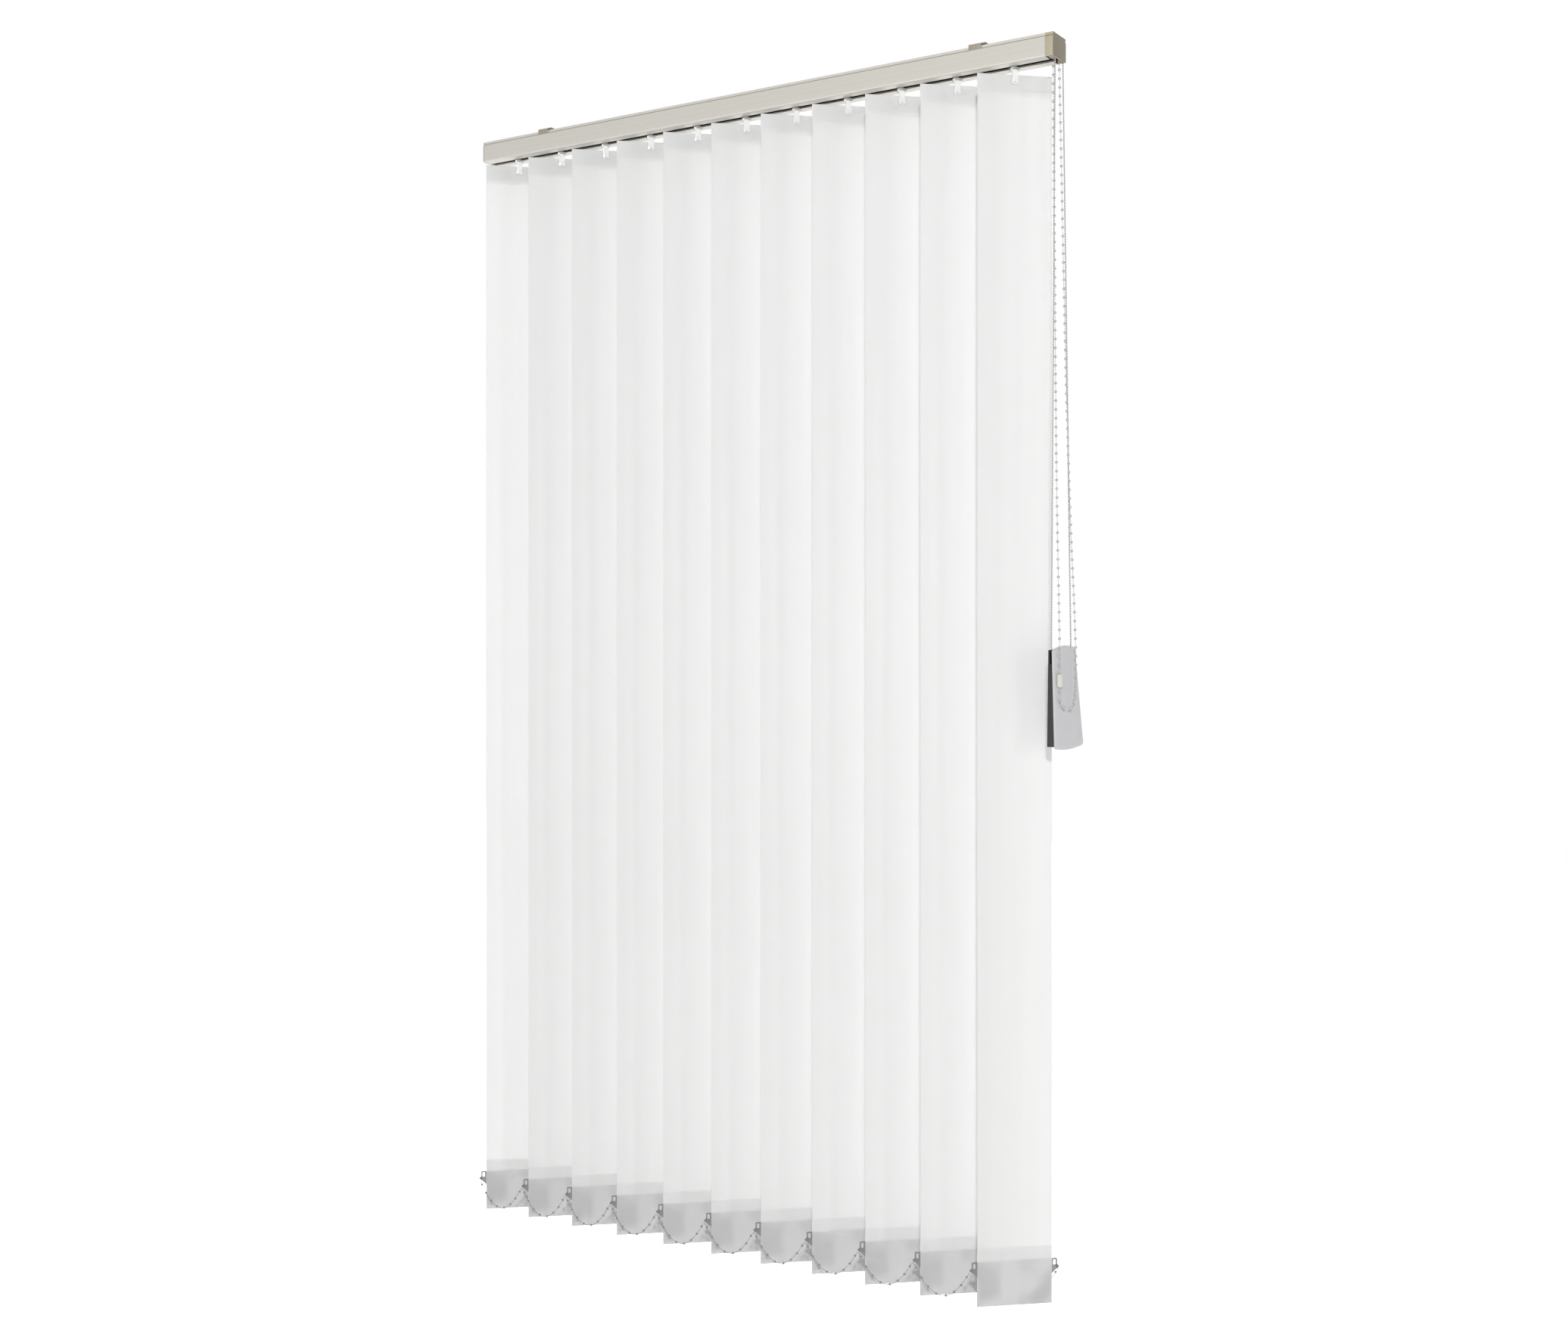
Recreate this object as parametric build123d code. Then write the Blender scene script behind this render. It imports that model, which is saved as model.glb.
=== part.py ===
from build123d import *
import math
import os

# Vertical blind on a slotted aluminium headrail, in millimetres, with +Z up.
# X runs along the rail to the control end, Y from the room to the window.
# The origin is on the ceiling plane, midway between the two ceiling brackets.

# Louvres and where they hang
LOUVRE_COUNT = 11
LOUVRE_PITCH = 74.0
LOUVRE_WIDTH = 89.0
LOUVRE_DROP = 1417.0
LOUVRE_GAP = 8.8
REST_ANGLE = 42.5
RETURN_MARGIN = 49.0
CONTROL_MARGIN = 56.0

# Louvre cloth, its top pocket and its bottom hem
CLOTH_THICKNESS = 0.45
POCKET_DEPTH = 25.0
HEM_DEPTH = 67.0
WELD_WIDTH = 3.0
FOLD_RISE = 2.0
INSERT_CLEARANCE = 0.1
WINDOW_WIDTH = 7.0
WINDOW_HEIGHT = 4.6
WINDOW_DROP = 5.0

# Headrail extrusion
RAIL_DEPTH = 36.0
RAIL_HEIGHT = 27.0
RAIL_WALL = 1.4
FLANGE_THICKNESS = 1.8
SLOT_WIDTH = 10.0
LIP_HEIGHT = 3.2
LIP_INSET = 1.0
GROOVE_HEIGHT = 1.0
GROOVE_DEPTH = 1.2
EDGE_RADIUS = 2.0

# Ceiling brackets
BRACKET_LENGTH = 22.0
CLAW_LENGTH = 16.0
BRACKET_THICKNESS = 1.2
BRACKET_RISE = 2.6
BRACKET_CLEARANCE = 0.15
BRACKET_RETURN_INSET = 108.5
BRACKET_CONTROL_INSET = 95.0
CLAW_THICKNESS = 0.7
SCREW_RADIUS = 2.25

# End caps
RETURN_CAP_LENGTH = 2.0
CONTROL_CAP_LENGTH = 10.0
CAP_WALL = 1.4
TONGUE_LENGTH = 22.0
TONGUE_THICKNESS = 2.0
TONGUE_WIDTH = 24.0
TONGUE_ROOT = 0.9
SHELF_LENGTH = 30.0
SHELF_THICKNESS = 2.0
SEAT_CLEARANCE = 0.1

# Tilt rod and chain wheel
ROD_RADIUS = 2.4
ROD_GROOVE_SHARE = 0.72
ROD_LOBES = 6
ROD_BACK = 4.2
ROD_DROP = 12.5
RUNNING_CLEARANCE = 0.08
BEARING_WALL = 1.6
BEARING_LENGTH = 5.0
BOSS_SIDES = 12
WHEEL_POCKETS = 5
WHEEL_FLANGE = 1.0
WHEEL_RIM = 0.9
WHEEL_SIDES = 20
WHEEL_PLANE_INSET = 6.0

# Tilt chain and its connector
BEAD_SPACING = 10.0
BEAD_RADIUS = 1.7
THREAD_RADIUS = 0.45
CHAIN_STRAIGHT_SHARE = 0.97
BEAD_SIDES = 3
CONNECTOR_LENGTH = 15.0
CONNECTOR_WIDTH = 7.0
CONNECTOR_THICKNESS = 4.0
CONNECTOR_CORNER_SHARE = 0.3
CHAIN_FRONT_OUT = 4.4
CHAIN_FRONT = 9.0
CHAIN_BACK_OUT = 15.5
CHAIN_BACK = 11.3
CHAIN_MID_IN = 2.0
CHAIN_MID_FRONT = 5.0
CHAIN_MID_OUT = 3.0
CHAIN_MID_BACK = 16.5
CHAIN_KNEE_RISE = 7.0
CHAIN_MID_SHARE = 0.71
CONNECTOR_BELOW_KNEE = 36.0
CHAIN_LOOP_BELOW = 24.0
CHAIN_KNEE_BEND = 300.0
CHAIN_MID_BEND = 1500.0
CHAIN_LOOP_BEND = 11.0

# Draw cord
CORD_RADIUS = 0.8
CORD_SIDES = 6
CORD_INSET = 2.4
CORD_FRONT = 6.5
CORD_BACK = 15.0
CORD_DROP = 19.5
CORD_TURN = 4.0
GUIDE_CLEARANCE = 0.15
GUIDE_SIDES = 12

# Return pulley
PULLEY_THICKNESS = 4.0
PULLEY_SIDES = 12
PIN_RADIUS = 2.0
PIN_SIDES = 12
PULLEY_SETBACK = 15.0

# Pendant that keeps the draw cord tight
PENDANT_OUT = 0.1
PENDANT_BACK = 4.5
PENDANT_DROP = 697.0
PENDANT_FACING = 15.0
PENDANT_LEAN = 5.0
PENDANT_HEIGHT = 110.0
PENDANT_TOP_WIDTH = 39.0
PENDANT_FOOT_WIDTH = 50.0
PENDANT_FRONT = 2.6
PENDANT_TOP_BACK = 3.1
PENDANT_FOOT_BACK = 8.2
COVER_THICKNESS = 2.0
COVER_OVERHANG = 0.6
COVER_CROWN = 3.5
COVER_BELLY = 5.0
COVER_CORNER = 4.0
COVER_EDGE = 0.9
MOUTH_DEPTH = 16.0
MOUTH_GAP = 3.2
WELL_WIDTH = 30.0
WELL_DEPTH = 42.0
SHEAVE_RADIUS = 9.3
SHEAVE_DROP = 28.0
SHEAVE_THICKNESS = 2.8
CORD_MOUTH = 17.5
CORD_MOUTH_BEND = 40.0

# Carriers that run in the rail
CARRIER_LENGTH = 14.0
CARRIER_WIDTH = 18.0
CARRIER_TOP_DROP = 6.0
CARRIER_LIFT = 0.6
RUNNER_RADIUS = 3.0
RUNNER_WIDTH = 3.5
RUNNER_SIDES = 6
CARRIER_BORE_CLEARANCE = 0.5
SOCKET_DEPTH = 8.0
SPACER_WIDTH = 5.6
SPACER_THICKNESS = 0.25
SPACER_STEP = 0.5
SPACER_OVERRUN = 5.0
SPACER_HEAD = 9.0
SPACER_HEAD_LENGTH = 4.0
SPACER_WINDOW = 6.4
SPACER_FRONT = 5.0
SPACER_DROP = 13.6
BORE_SIDES = 6
CORD_BORE_SIDES = 4
HEX_FLAT_SHARE = math.cos(math.pi / 6)
SQUARE_FLAT_SHARE = math.cos(math.pi / 4)

# Hook that hangs the louvre, and the insert in the louvre's top pocket
STEM_RADIUS = 2.6
STEM_SIDES = 6
STEM_CLEARANCE = 0.3
COLLAR_WIDTH = 11.0
COLLAR_DEPTH = 7.0
COLLAR_HEIGHT = 4.0
COLLAR_GAP = 0.4
HOOK_WIDTH = 8.0
HOOK_THICKNESS = 1.5
HOOK_LENGTH = 20.0
HOOK_GAP = 0.3
PEG_WIDTH = 5.0
PEG_HEIGHT = 3.0
PEG_REACH = 3.2
INSERT_WIDTH = 72.0
INSERT_HEIGHT = 19.0
INSERT_THICKNESS = 0.8

# Bottom weight with its two ears
WEIGHT_THICKNESS = 1.6
WEIGHT_HEIGHT = 51.0
WEIGHT_SIDE_GAP = 1.5
WEIGHT_CORNER = 12.0
EAR_REACH = 6.6
EAR_HEIGHT = 17.6
EAR_DROP = 9.5
EAR_RIM = 1.7
EAR_WINDOW_HEIGHT = 6.0
KNOB_RADIUS = 2.0
KNOB_LENGTH = 2.2
KNOB_SIDES = 4

# Spacer chains along the louvres' feet
SPAN_SAG = 32.0
SPAN_BEADS = 8
SPAN_BEAD_RADIUS = 1.5
SPAN_SIDES = 3
SPAN_GAP = 0.1
SPAN_START = 0.9
SPAN_POINTS = 7
SPAN_STRAIGHT_SHARE = 0.4

# Overrun of every cut, and how far out of flat a facet may be
OVERRUN = 1.0
FLAT_SHARE = 1e-7

# Places that follow from the sizes above
OVERALL_LENGTH = (LOUVRE_COUNT - 1) * LOUVRE_PITCH + RETURN_MARGIN + CONTROL_MARGIN
BRACKET_SPACING = OVERALL_LENGTH - BRACKET_RETURN_INSET - BRACKET_CONTROL_INSET
RETURN_FACE = -BRACKET_SPACING / 2 - BRACKET_RETURN_INSET
CONTROL_FACE = BRACKET_SPACING / 2 + BRACKET_CONTROL_INSET
RAIL_START = RETURN_FACE + RETURN_CAP_LENGTH
RAIL_END = CONTROL_FACE - CONTROL_CAP_LENGTH
RAIL_TOP = -BRACKET_RISE
RAIL_FOOT = RAIL_TOP - RAIL_HEIGHT
RAIL_HALF = RAIL_DEPTH / 2
LIP_HALF = RAIL_HALF - LIP_INSET
GROOVE_HALF = LIP_HALF - GROOVE_DEPTH
GROOVE_TOP = RAIL_TOP - LIP_HEIGHT
GROOVE_FOOT = GROOVE_TOP - GROOVE_HEIGHT
FLANGE_TOP = RAIL_FOOT + FLANGE_THICKNESS
INNER_HALF = RAIL_HALF - RAIL_WALL
LOUVRE_TOP = RAIL_FOOT - LOUVRE_GAP
LOUVRE_FOOT = LOUVRE_TOP - LOUVRE_DROP
HEM_HALF = CLOTH_THICKNESS + INSERT_CLEARANCE + WEIGHT_THICKNESS / 2
FRONT_FACE = -HEM_HALF
POCKET_BACK = FRONT_FACE + 2 * (CLOTH_THICKNESS + INSERT_CLEARANCE) + INSERT_THICKNESS
ROD_Z = RAIL_TOP - ROD_DROP
CORD_Z = RAIL_TOP - CORD_DROP
CORD_X = CONTROL_FACE - CORD_INSET
WHEEL_X = CONTROL_FACE - WHEEL_PLANE_INSET
WHEEL_RADIUS = WHEEL_POCKETS * BEAD_SPACING / (2 * math.pi)
CHAIN_KNEE_DROP = PENDANT_DROP - CHAIN_KNEE_RISE
CHAIN_MID_DROP = CHAIN_KNEE_DROP * CHAIN_MID_SHARE
CONNECTOR_DROP = CHAIN_KNEE_DROP + CONNECTOR_BELOW_KNEE
CHAIN_LOOP_DROP = CONNECTOR_DROP + CONNECTOR_LENGTH + CHAIN_LOOP_BELOW
KNOB_OUT = LOUVRE_WIDTH / 2 + EAR_REACH + KNOB_LENGTH
KNOB_Z = LOUVRE_FOOT + CLOTH_THICKNESS + INSERT_CLEARANCE + WEIGHT_HEIGHT - EAR_DROP

# Drawing planes: section across the rail, view from the room, and plan
SECTION = Plane(origin=(0, 0, 0), x_dir=(0, 1, 0), z_dir=(1, 0, 0))
ELEVATION = Plane(origin=(0, 0, 0), x_dir=(1, 0, 0), z_dir=(0, -1, 0))
PLAN = Plane.XY


def slab(points, plane, start, stop):
    """Prism of an outline on a plane, from start to stop along the plane's normal."""
    face = make_face(Polyline(*points, close=True))
    return extrude(plane.offset(start) * face, amount=stop - start)


def bar(sides, radius, plane, start, stop, x=0.0, y=0.0):
    """Prism with a regular outline, standing on a plane at (x, y)."""
    face = Pos(x, y) * RegularPolygon(radius, sides)
    return extrude(plane.offset(start) * face, amount=stop - start)


def rod(radius, plane, start, stop, x=0.0, y=0.0):
    """Round bar standing on a plane at (x, y)."""
    return extrude(plane.offset(start) * (Pos(x, y) * Circle(radius)), amount=stop - start)


def block(low, high):
    """Box between two corners."""
    outline = [(low[0], low[1]), (high[0], low[1]), (high[0], high[1]), (low[0], high[1])]
    return slab(outline, PLAN, low[2], high[2])


def louvre_x(number):
    """Axis of one louvre along the rail, counted from the return end."""
    return RETURN_FACE + RETURN_MARGIN + number * LOUVRE_PITCH


def hung(solid, number):
    """Solid drawn about its own axis, turned to the rest angle and put under the rail."""
    return Pos(louvre_x(number), 0, 0) * Rot(0, 0, REST_ANGLE) * solid


# Headrail: a slotted extrusion with a lip for the brackets along each top edge
def rail_outline():
    """Outer section of the rail, from the room side round to the window side."""
    half = [
        (LIP_HALF, RAIL_TOP),
        (LIP_HALF, GROOVE_TOP),
        (GROOVE_HALF, GROOVE_TOP),
        (GROOVE_HALF, GROOVE_FOOT),
        (RAIL_HALF, GROOVE_FOOT),
        (RAIL_HALF, RAIL_FOOT),
    ]
    return half + [(-y, z) for y, z in reversed(half)]


def rounded_section(start, stop):
    """Solid bar of the rail's outer section with its two lower edges rounded."""
    body = slab(rail_outline(), SECTION, start, stop)
    lower = body.edges().filter_by(Axis.X).group_by(Axis.Z)[0]
    return fillet(lower, EDGE_RADIUS)


def headrail():
    body = rounded_section(RAIL_START, RAIL_END)
    half = [
        (GROOVE_HALF - RAIL_WALL, RAIL_TOP - RAIL_WALL),
        (GROOVE_HALF - RAIL_WALL, GROOVE_FOOT - RAIL_WALL),
        (INNER_HALF, GROOVE_FOOT - RAIL_WALL),
        (INNER_HALF, FLANGE_TOP),
        (SLOT_WIDTH / 2, FLANGE_TOP),
        (SLOT_WIDTH / 2, RAIL_FOOT - OVERRUN),
    ]
    inside = half + [(-y, z) for y, z in reversed(half)]
    return body - slab(inside, SECTION, RAIL_START - OVERRUN, RAIL_END + OVERRUN)


# Ceiling brackets: folded clips whose claws reach into the rail's grooves
def ceiling_bracket(x):
    inner = LIP_HALF + BRACKET_CLEARANCE
    outer = inner + BRACKET_THICKNESS
    claw = GROOVE_HALF + BRACKET_CLEARANCE
    claw_top = GROOVE_TOP - BRACKET_CLEARANCE
    half = [
        (outer, 0.0),
        (outer, claw_top - CLAW_THICKNESS),
        (claw, claw_top - CLAW_THICKNESS),
        (claw, claw_top),
        (inner, claw_top),
        (inner, -BRACKET_THICKNESS),
    ]
    outline = half + [(-y, z) for y, z in reversed(half)]
    start = x - BRACKET_LENGTH / 2
    clip = slab(outline, SECTION, start, start + CLAW_LENGTH)
    clip += block((start, -outer, -BRACKET_THICKNESS), (start + BRACKET_LENGTH, outer, 0))
    return clip - rod(SCREW_RADIUS, PLAN, -BRACKET_THICKNESS - OVERRUN, OVERRUN, x, 0)


# Return end cap: end plate, pulley shelf with its pin, and the rod's far bearing
PULLEY_X = RAIL_START + PULLEY_SETBACK
PULLEY_Y = (CORD_BACK - CORD_FRONT) / 2
PULLEY_RADIUS = (CORD_BACK + CORD_FRONT) / 2
PULLEY_FOOT = CORD_Z - PULLEY_THICKNESS / 2
BEARING_RADIUS = ROD_RADIUS + RUNNING_CLEARANCE


def return_end_cap():
    plate = rounded_section(RETURN_FACE, RAIL_START)
    shelf_half = INNER_HALF - SEAT_CLEARANCE
    shelf_top = PULLEY_FOOT - RUNNING_CLEARANCE
    shelf = block(
        (RAIL_START, -shelf_half, shelf_top - SHELF_THICKNESS),
        (RAIL_START + SHELF_LENGTH, shelf_half, shelf_top),
    )
    pin_top = CORD_Z + PULLEY_THICKNESS / 2
    pin = bar(PIN_SIDES, PIN_RADIUS, PLAN, shelf_top, pin_top, PULLEY_X, PULLEY_Y)
    boss_end = RAIL_START + BEARING_LENGTH
    hub = BEARING_RADIUS + BEARING_WALL
    boss = bar(BOSS_SIDES, hub, SECTION, RAIL_START, boss_end, ROD_BACK, ROD_Z)
    bore = rod(BEARING_RADIUS, SECTION, RAIL_START, boss_end + OVERRUN, ROD_BACK, ROD_Z)
    return plate + shelf + pin + boss - bore


def grooved_wheel(cord_radius, thickness, sides, bore_radius):
    """Pulley about Z whose groove leaves the cord clear at the given radius."""
    groove = cord_radius - CORD_RADIUS - SEAT_CLEARANCE
    flange = cord_radius + CORD_RADIUS
    lip = (thickness - 2 * CORD_RADIUS) / 2 - SEAT_CLEARANCE
    # Flat-sided groove: its corners stay inside the cord's line
    core = bar(sides, groove, PLAN, -thickness / 2, thickness / 2)
    low = bar(sides, flange, PLAN, -thickness / 2, -thickness / 2 + lip)
    high = bar(sides, flange, PLAN, thickness / 2 - lip, thickness / 2)
    return core + low + high - rod(bore_radius, PLAN, -thickness, thickness)


def return_pulley():
    wheel = grooved_wheel(PULLEY_RADIUS, PULLEY_THICKNESS, PULLEY_SIDES, PIN_RADIUS + RUNNING_CLEARANCE)
    return Pos(PULLEY_X, PULLEY_Y, CORD_Z) * wheel


# Control end cap: open below, with cord guides, the wheel's bearing and a tongue in the rail
def control_end_cap():
    shell = rounded_section(RAIL_END, CONTROL_FACE)
    inner = RAIL_HALF - CAP_WALL
    half = [
        (GROOVE_HALF - CAP_WALL, RAIL_TOP - CAP_WALL),
        (GROOVE_HALF - CAP_WALL, GROOVE_FOOT - CAP_WALL),
        (inner, GROOVE_FOOT - CAP_WALL),
        (inner, RAIL_FOOT - OVERRUN),
    ]
    hollow = half + [(-y, z) for y, z in reversed(half)]
    shell = shell - slab(hollow, SECTION, RAIL_END - OVERRUN, CONTROL_FACE - CAP_WALL)
    tongue_top = RAIL_TOP - RAIL_WALL - SEAT_CLEARANCE
    tongue = block(
        (RAIL_END - TONGUE_LENGTH, -TONGUE_WIDTH / 2, tongue_top - TONGUE_THICKNESS),
        (RAIL_END + TONGUE_ROOT, TONGUE_WIDTH / 2, tongue_top),
    )
    tongue += block(
        (RAIL_END, -TONGUE_WIDTH / 2, tongue_top - TONGUE_THICKNESS),
        (RAIL_END + TONGUE_ROOT, TONGUE_WIDTH / 2, RAIL_TOP - CAP_WALL / 2),
    )
    guide_radius = CORD_TURN - CORD_RADIUS - GUIDE_CLEARANCE
    guide_x = CORD_X - CORD_TURN
    guide_z = CORD_Z - CORD_TURN
    side = Plane(origin=(guide_x, 0, guide_z), x_dir=(1, 0, 0), z_dir=(0, 1, 0))
    front_guide = bar(GUIDE_SIDES, guide_radius, side, -inner, -CORD_FRONT + CORD_RADIUS)
    back_guide = bar(GUIDE_SIDES, guide_radius, side, CORD_BACK - CORD_RADIUS, inner)
    hub = BEARING_RADIUS + BEARING_WALL
    boss_start = WHEEL_X + BEAD_RADIUS + WHEEL_FLANGE + GUIDE_CLEARANCE * 2
    boss = bar(BOSS_SIDES, hub, SECTION, boss_start, CONTROL_FACE - CAP_WALL, ROD_BACK, ROD_Z)
    bore = rod(BEARING_RADIUS, SECTION, boss_start - OVERRUN, CONTROL_FACE - CAP_WALL, ROD_BACK, ROD_Z)
    return shell + tongue + front_guide + back_guide + boss - bore


# Tilt rod: a lobed bar that every carrier's drive slides along
def tilt_rod():
    points = []
    for step in range(2 * ROD_LOBES):
        angle = math.pi * step / ROD_LOBES
        reach = ROD_RADIUS if step % 2 == 0 else ROD_RADIUS * ROD_GROOVE_SHARE
        points.append((ROD_BACK + reach * math.cos(angle), ROD_Z + reach * math.sin(angle)))
    start = RAIL_START + SEAT_CLEARANCE
    stop = CONTROL_FACE - CAP_WALL - SEAT_CLEARANCE
    return slab(points, SECTION, start, stop)


# Chain wheel: pocketed hub between two flanges, pressed on the rod's control end
def chain_wheel():
    hub = WHEEL_RADIUS - BEAD_RADIUS - WHEEL_RIM / 2
    half_gap = (BEAD_SPACING / 2 - BEAD_RADIUS) / WHEEL_RADIUS
    tooth = (WHEEL_RADIUS - SEAT_CLEARANCE) * math.cos(half_gap) - THREAD_RADIUS - SEAT_CLEARANCE
    half_step = math.pi / WHEEL_POCKETS
    half_tooth = half_step - (BEAD_RADIUS + WHEEL_RIM) / WHEEL_RADIUS
    points = []
    for pocket in range(WHEEL_POCKETS):
        centre = math.pi / 2 + (2 * pocket + 1) * half_step
        for turn, reach in ((-1, hub), (-1, tooth), (1, tooth), (1, hub)):
            angle = centre + turn * half_tooth
            points.append((ROD_BACK + reach * math.cos(angle), ROD_Z + reach * math.sin(angle)))
    inside = BEAD_RADIUS + GUIDE_CLEARANCE
    core = slab(points, SECTION, WHEEL_X - inside, WHEEL_X + inside)
    rim = WHEEL_RADIUS + WHEEL_RIM
    outer = inside + WHEEL_FLANGE
    near = bar(WHEEL_SIDES, rim, SECTION, WHEEL_X - outer, WHEEL_X - inside, ROD_BACK, ROD_Z)
    far = bar(WHEEL_SIDES, rim, SECTION, WHEEL_X + inside, WHEEL_X + outer, ROD_BACK, ROD_Z)
    bore = rod(ROD_RADIUS, SECTION, RAIL_END - OVERRUN, CONTROL_FACE, ROD_BACK, ROD_Z)
    return core + near + far - bore


# Draw cord inside the rail: two runs along it and the turn round the return pulley
def cord_tube(path):
    """Cord along a path, checked against its section times its length."""
    section = RegularPolygon(CORD_RADIUS, CORD_SIDES)
    tube = sweep(Plane(path @ 0, z_dir=path % 0) * section, path=path)
    print("cord volume share", tube.volume / (section.area * path.length))
    return tube


def draw_cord_rail():
    top = (CORD_X, CORD_Z)
    far = PULLEY_X
    front = FilletPolyline(
        (CORD_X, -CORD_FRONT, CORD_Z - CORD_TURN - CORD_RADIUS),
        (CORD_X, -CORD_FRONT, top[1]),
        (far, -CORD_FRONT, top[1]),
        radius=CORD_TURN,
    )
    turn = CenterArc((far, PULLEY_Y, CORD_Z), PULLEY_RADIUS, -90, -180)
    back = FilletPolyline(
        (far, CORD_BACK, top[1]),
        (CORD_X, CORD_BACK, top[1]),
        (CORD_X, CORD_BACK, CORD_Z - CORD_TURN - CORD_RADIUS),
        radius=CORD_TURN,
    )
    print("cord arc radii in the rail", CORD_TURN, PULLEY_RADIUS, CORD_TURN)
    return cord_tube(Wire(front.edges() + turn.edges() + back.edges()))


# Pendant: its own upright frame, leaning and turned a little towards the room
def in_pendant(solid):
    """Solid drawn in the pendant's frame, with its cover towards the control end."""
    place = Pos(CONTROL_FACE + PENDANT_OUT, PENDANT_BACK, RAIL_TOP - PENDANT_DROP)
    return place * Rot(0, 0, 90 - PENDANT_FACING) * Rot(0, -PENDANT_LEAN, 0) * solid


def pendant_point(across, up):
    """World place of a point in the pendant's middle plane."""
    lean = math.radians(PENDANT_LEAN)
    turn = math.radians(90 - PENDANT_FACING)
    flat = across * math.cos(lean) - up * math.sin(lean)
    rise = up * math.cos(lean) + across * math.sin(lean)
    x = CONTROL_FACE + PENDANT_OUT + flat * math.cos(turn)
    y = PENDANT_BACK + flat * math.sin(turn)
    return (x, y, RAIL_TOP - PENDANT_DROP + rise)


def draw_cord_loop():
    foot = -SHEAVE_DROP - SHEAVE_RADIUS
    reach = math.hypot(CORD_MOUTH, SHEAVE_DROP)
    slant = math.atan2(CORD_MOUTH, SHEAVE_DROP) - math.asin(SHEAVE_RADIUS / reach)
    corner = CORD_MOUTH + math.tan(slant) * foot
    start_z = CORD_Z - CORD_TURN - CORD_RADIUS
    points = [
        (CORD_X, -CORD_FRONT, start_z),
        pendant_point(-CORD_MOUTH, 0),
        pendant_point(-corner, foot),
        pendant_point(corner, foot),
        pendant_point(CORD_MOUTH, 0),
        (CORD_X, CORD_BACK, start_z),
    ]
    wrap = SHEAVE_RADIUS - 2 * SEAT_CLEARANCE
    radii = [CORD_MOUTH_BEND, wrap, wrap, CORD_MOUTH_BEND]
    print("cord arc radii at the pendant", radii)
    return cord_tube(Wire(FilletPolyline(*points, radius=radii).edges()))


def pendant_cover():
    top = PENDANT_TOP_WIDTH / 2 + COVER_OVERHANG
    foot = PENDANT_FOOT_WIDTH / 2 + COVER_OVERHANG
    low = -PENDANT_HEIGHT
    outline = (
        Line((-foot, low), (-top, 0))
        + ThreePointArc((-top, 0), (0, COVER_CROWN), (top, 0))
        + Line((top, 0), (foot, low))
        + ThreePointArc((foot, low), (0, low - COVER_BELLY), (-foot, low))
    )
    face = fillet(make_face(outline).vertices(), COVER_CORNER)
    plate = extrude(ELEVATION.offset(PENDANT_FRONT) * face, amount=COVER_THICKNESS)
    outer = plate.faces().sort_by(Axis.Y)[0]
    return in_pendant(chamfer(outer.edges(), COVER_EDGE))


def pendant_body():
    half_top = PENDANT_TOP_WIDTH / 2
    half_foot = PENDANT_FOOT_WIDTH / 2
    low = -PENDANT_HEIGHT
    front = [(-half_foot, low), (half_foot, low), (half_top, 0), (-half_top, 0)]
    side = [
        (-PENDANT_FRONT, low),
        (PENDANT_FOOT_BACK, low),
        (PENDANT_TOP_BACK, 0),
        (-PENDANT_FRONT, 0),
    ]
    broad = slab(front, ELEVATION, -PENDANT_FOOT_BACK, PENDANT_FRONT)
    body = broad & slab(side, SECTION, -half_foot, half_foot)
    well = WELL_WIDTH / 2
    wide = half_foot + OVERRUN
    mouth = [
        (-wide, OVERRUN),
        (-wide, -MOUTH_DEPTH),
        (-well, -MOUTH_DEPTH),
        (-well, -WELL_DEPTH),
        (well, -WELL_DEPTH),
        (well, -MOUTH_DEPTH),
        (wide, -MOUTH_DEPTH),
        (wide, OVERRUN),
    ]
    body = body - slab(mouth, ELEVATION, -MOUTH_GAP / 2, MOUTH_GAP / 2)
    pin = bar(PIN_SIDES, PIN_RADIUS, ELEVATION, -PENDANT_TOP_BACK, PENDANT_FRONT, 0, -SHEAVE_DROP)
    return in_pendant(body + pin)


def pendant_pulley():
    wheel = grooved_wheel(SHEAVE_RADIUS, SHEAVE_THICKNESS, PULLEY_SIDES, PIN_RADIUS + RUNNING_CLEARANCE)
    return in_pendant(ELEVATION.location * Pos(0, -SHEAVE_DROP, 0) * wheel)


# Bead chains: a thin thread with a faceted bead at each step
def flat_faces(corners):
    """One face through four corners where they lie in a plane, or else two triangles."""
    first, second, third, fourth = corners
    square = (second - first).cross(fourth - first)
    if abs(square.dot(third - first)) < FLAT_SHARE * square.length:
        outlines = [corners]
    else:
        outlines = [[first, second, third], [first, third, fourth]]
    return [Face(Wire.make_polygon(outline)) for outline in outlines]


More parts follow.
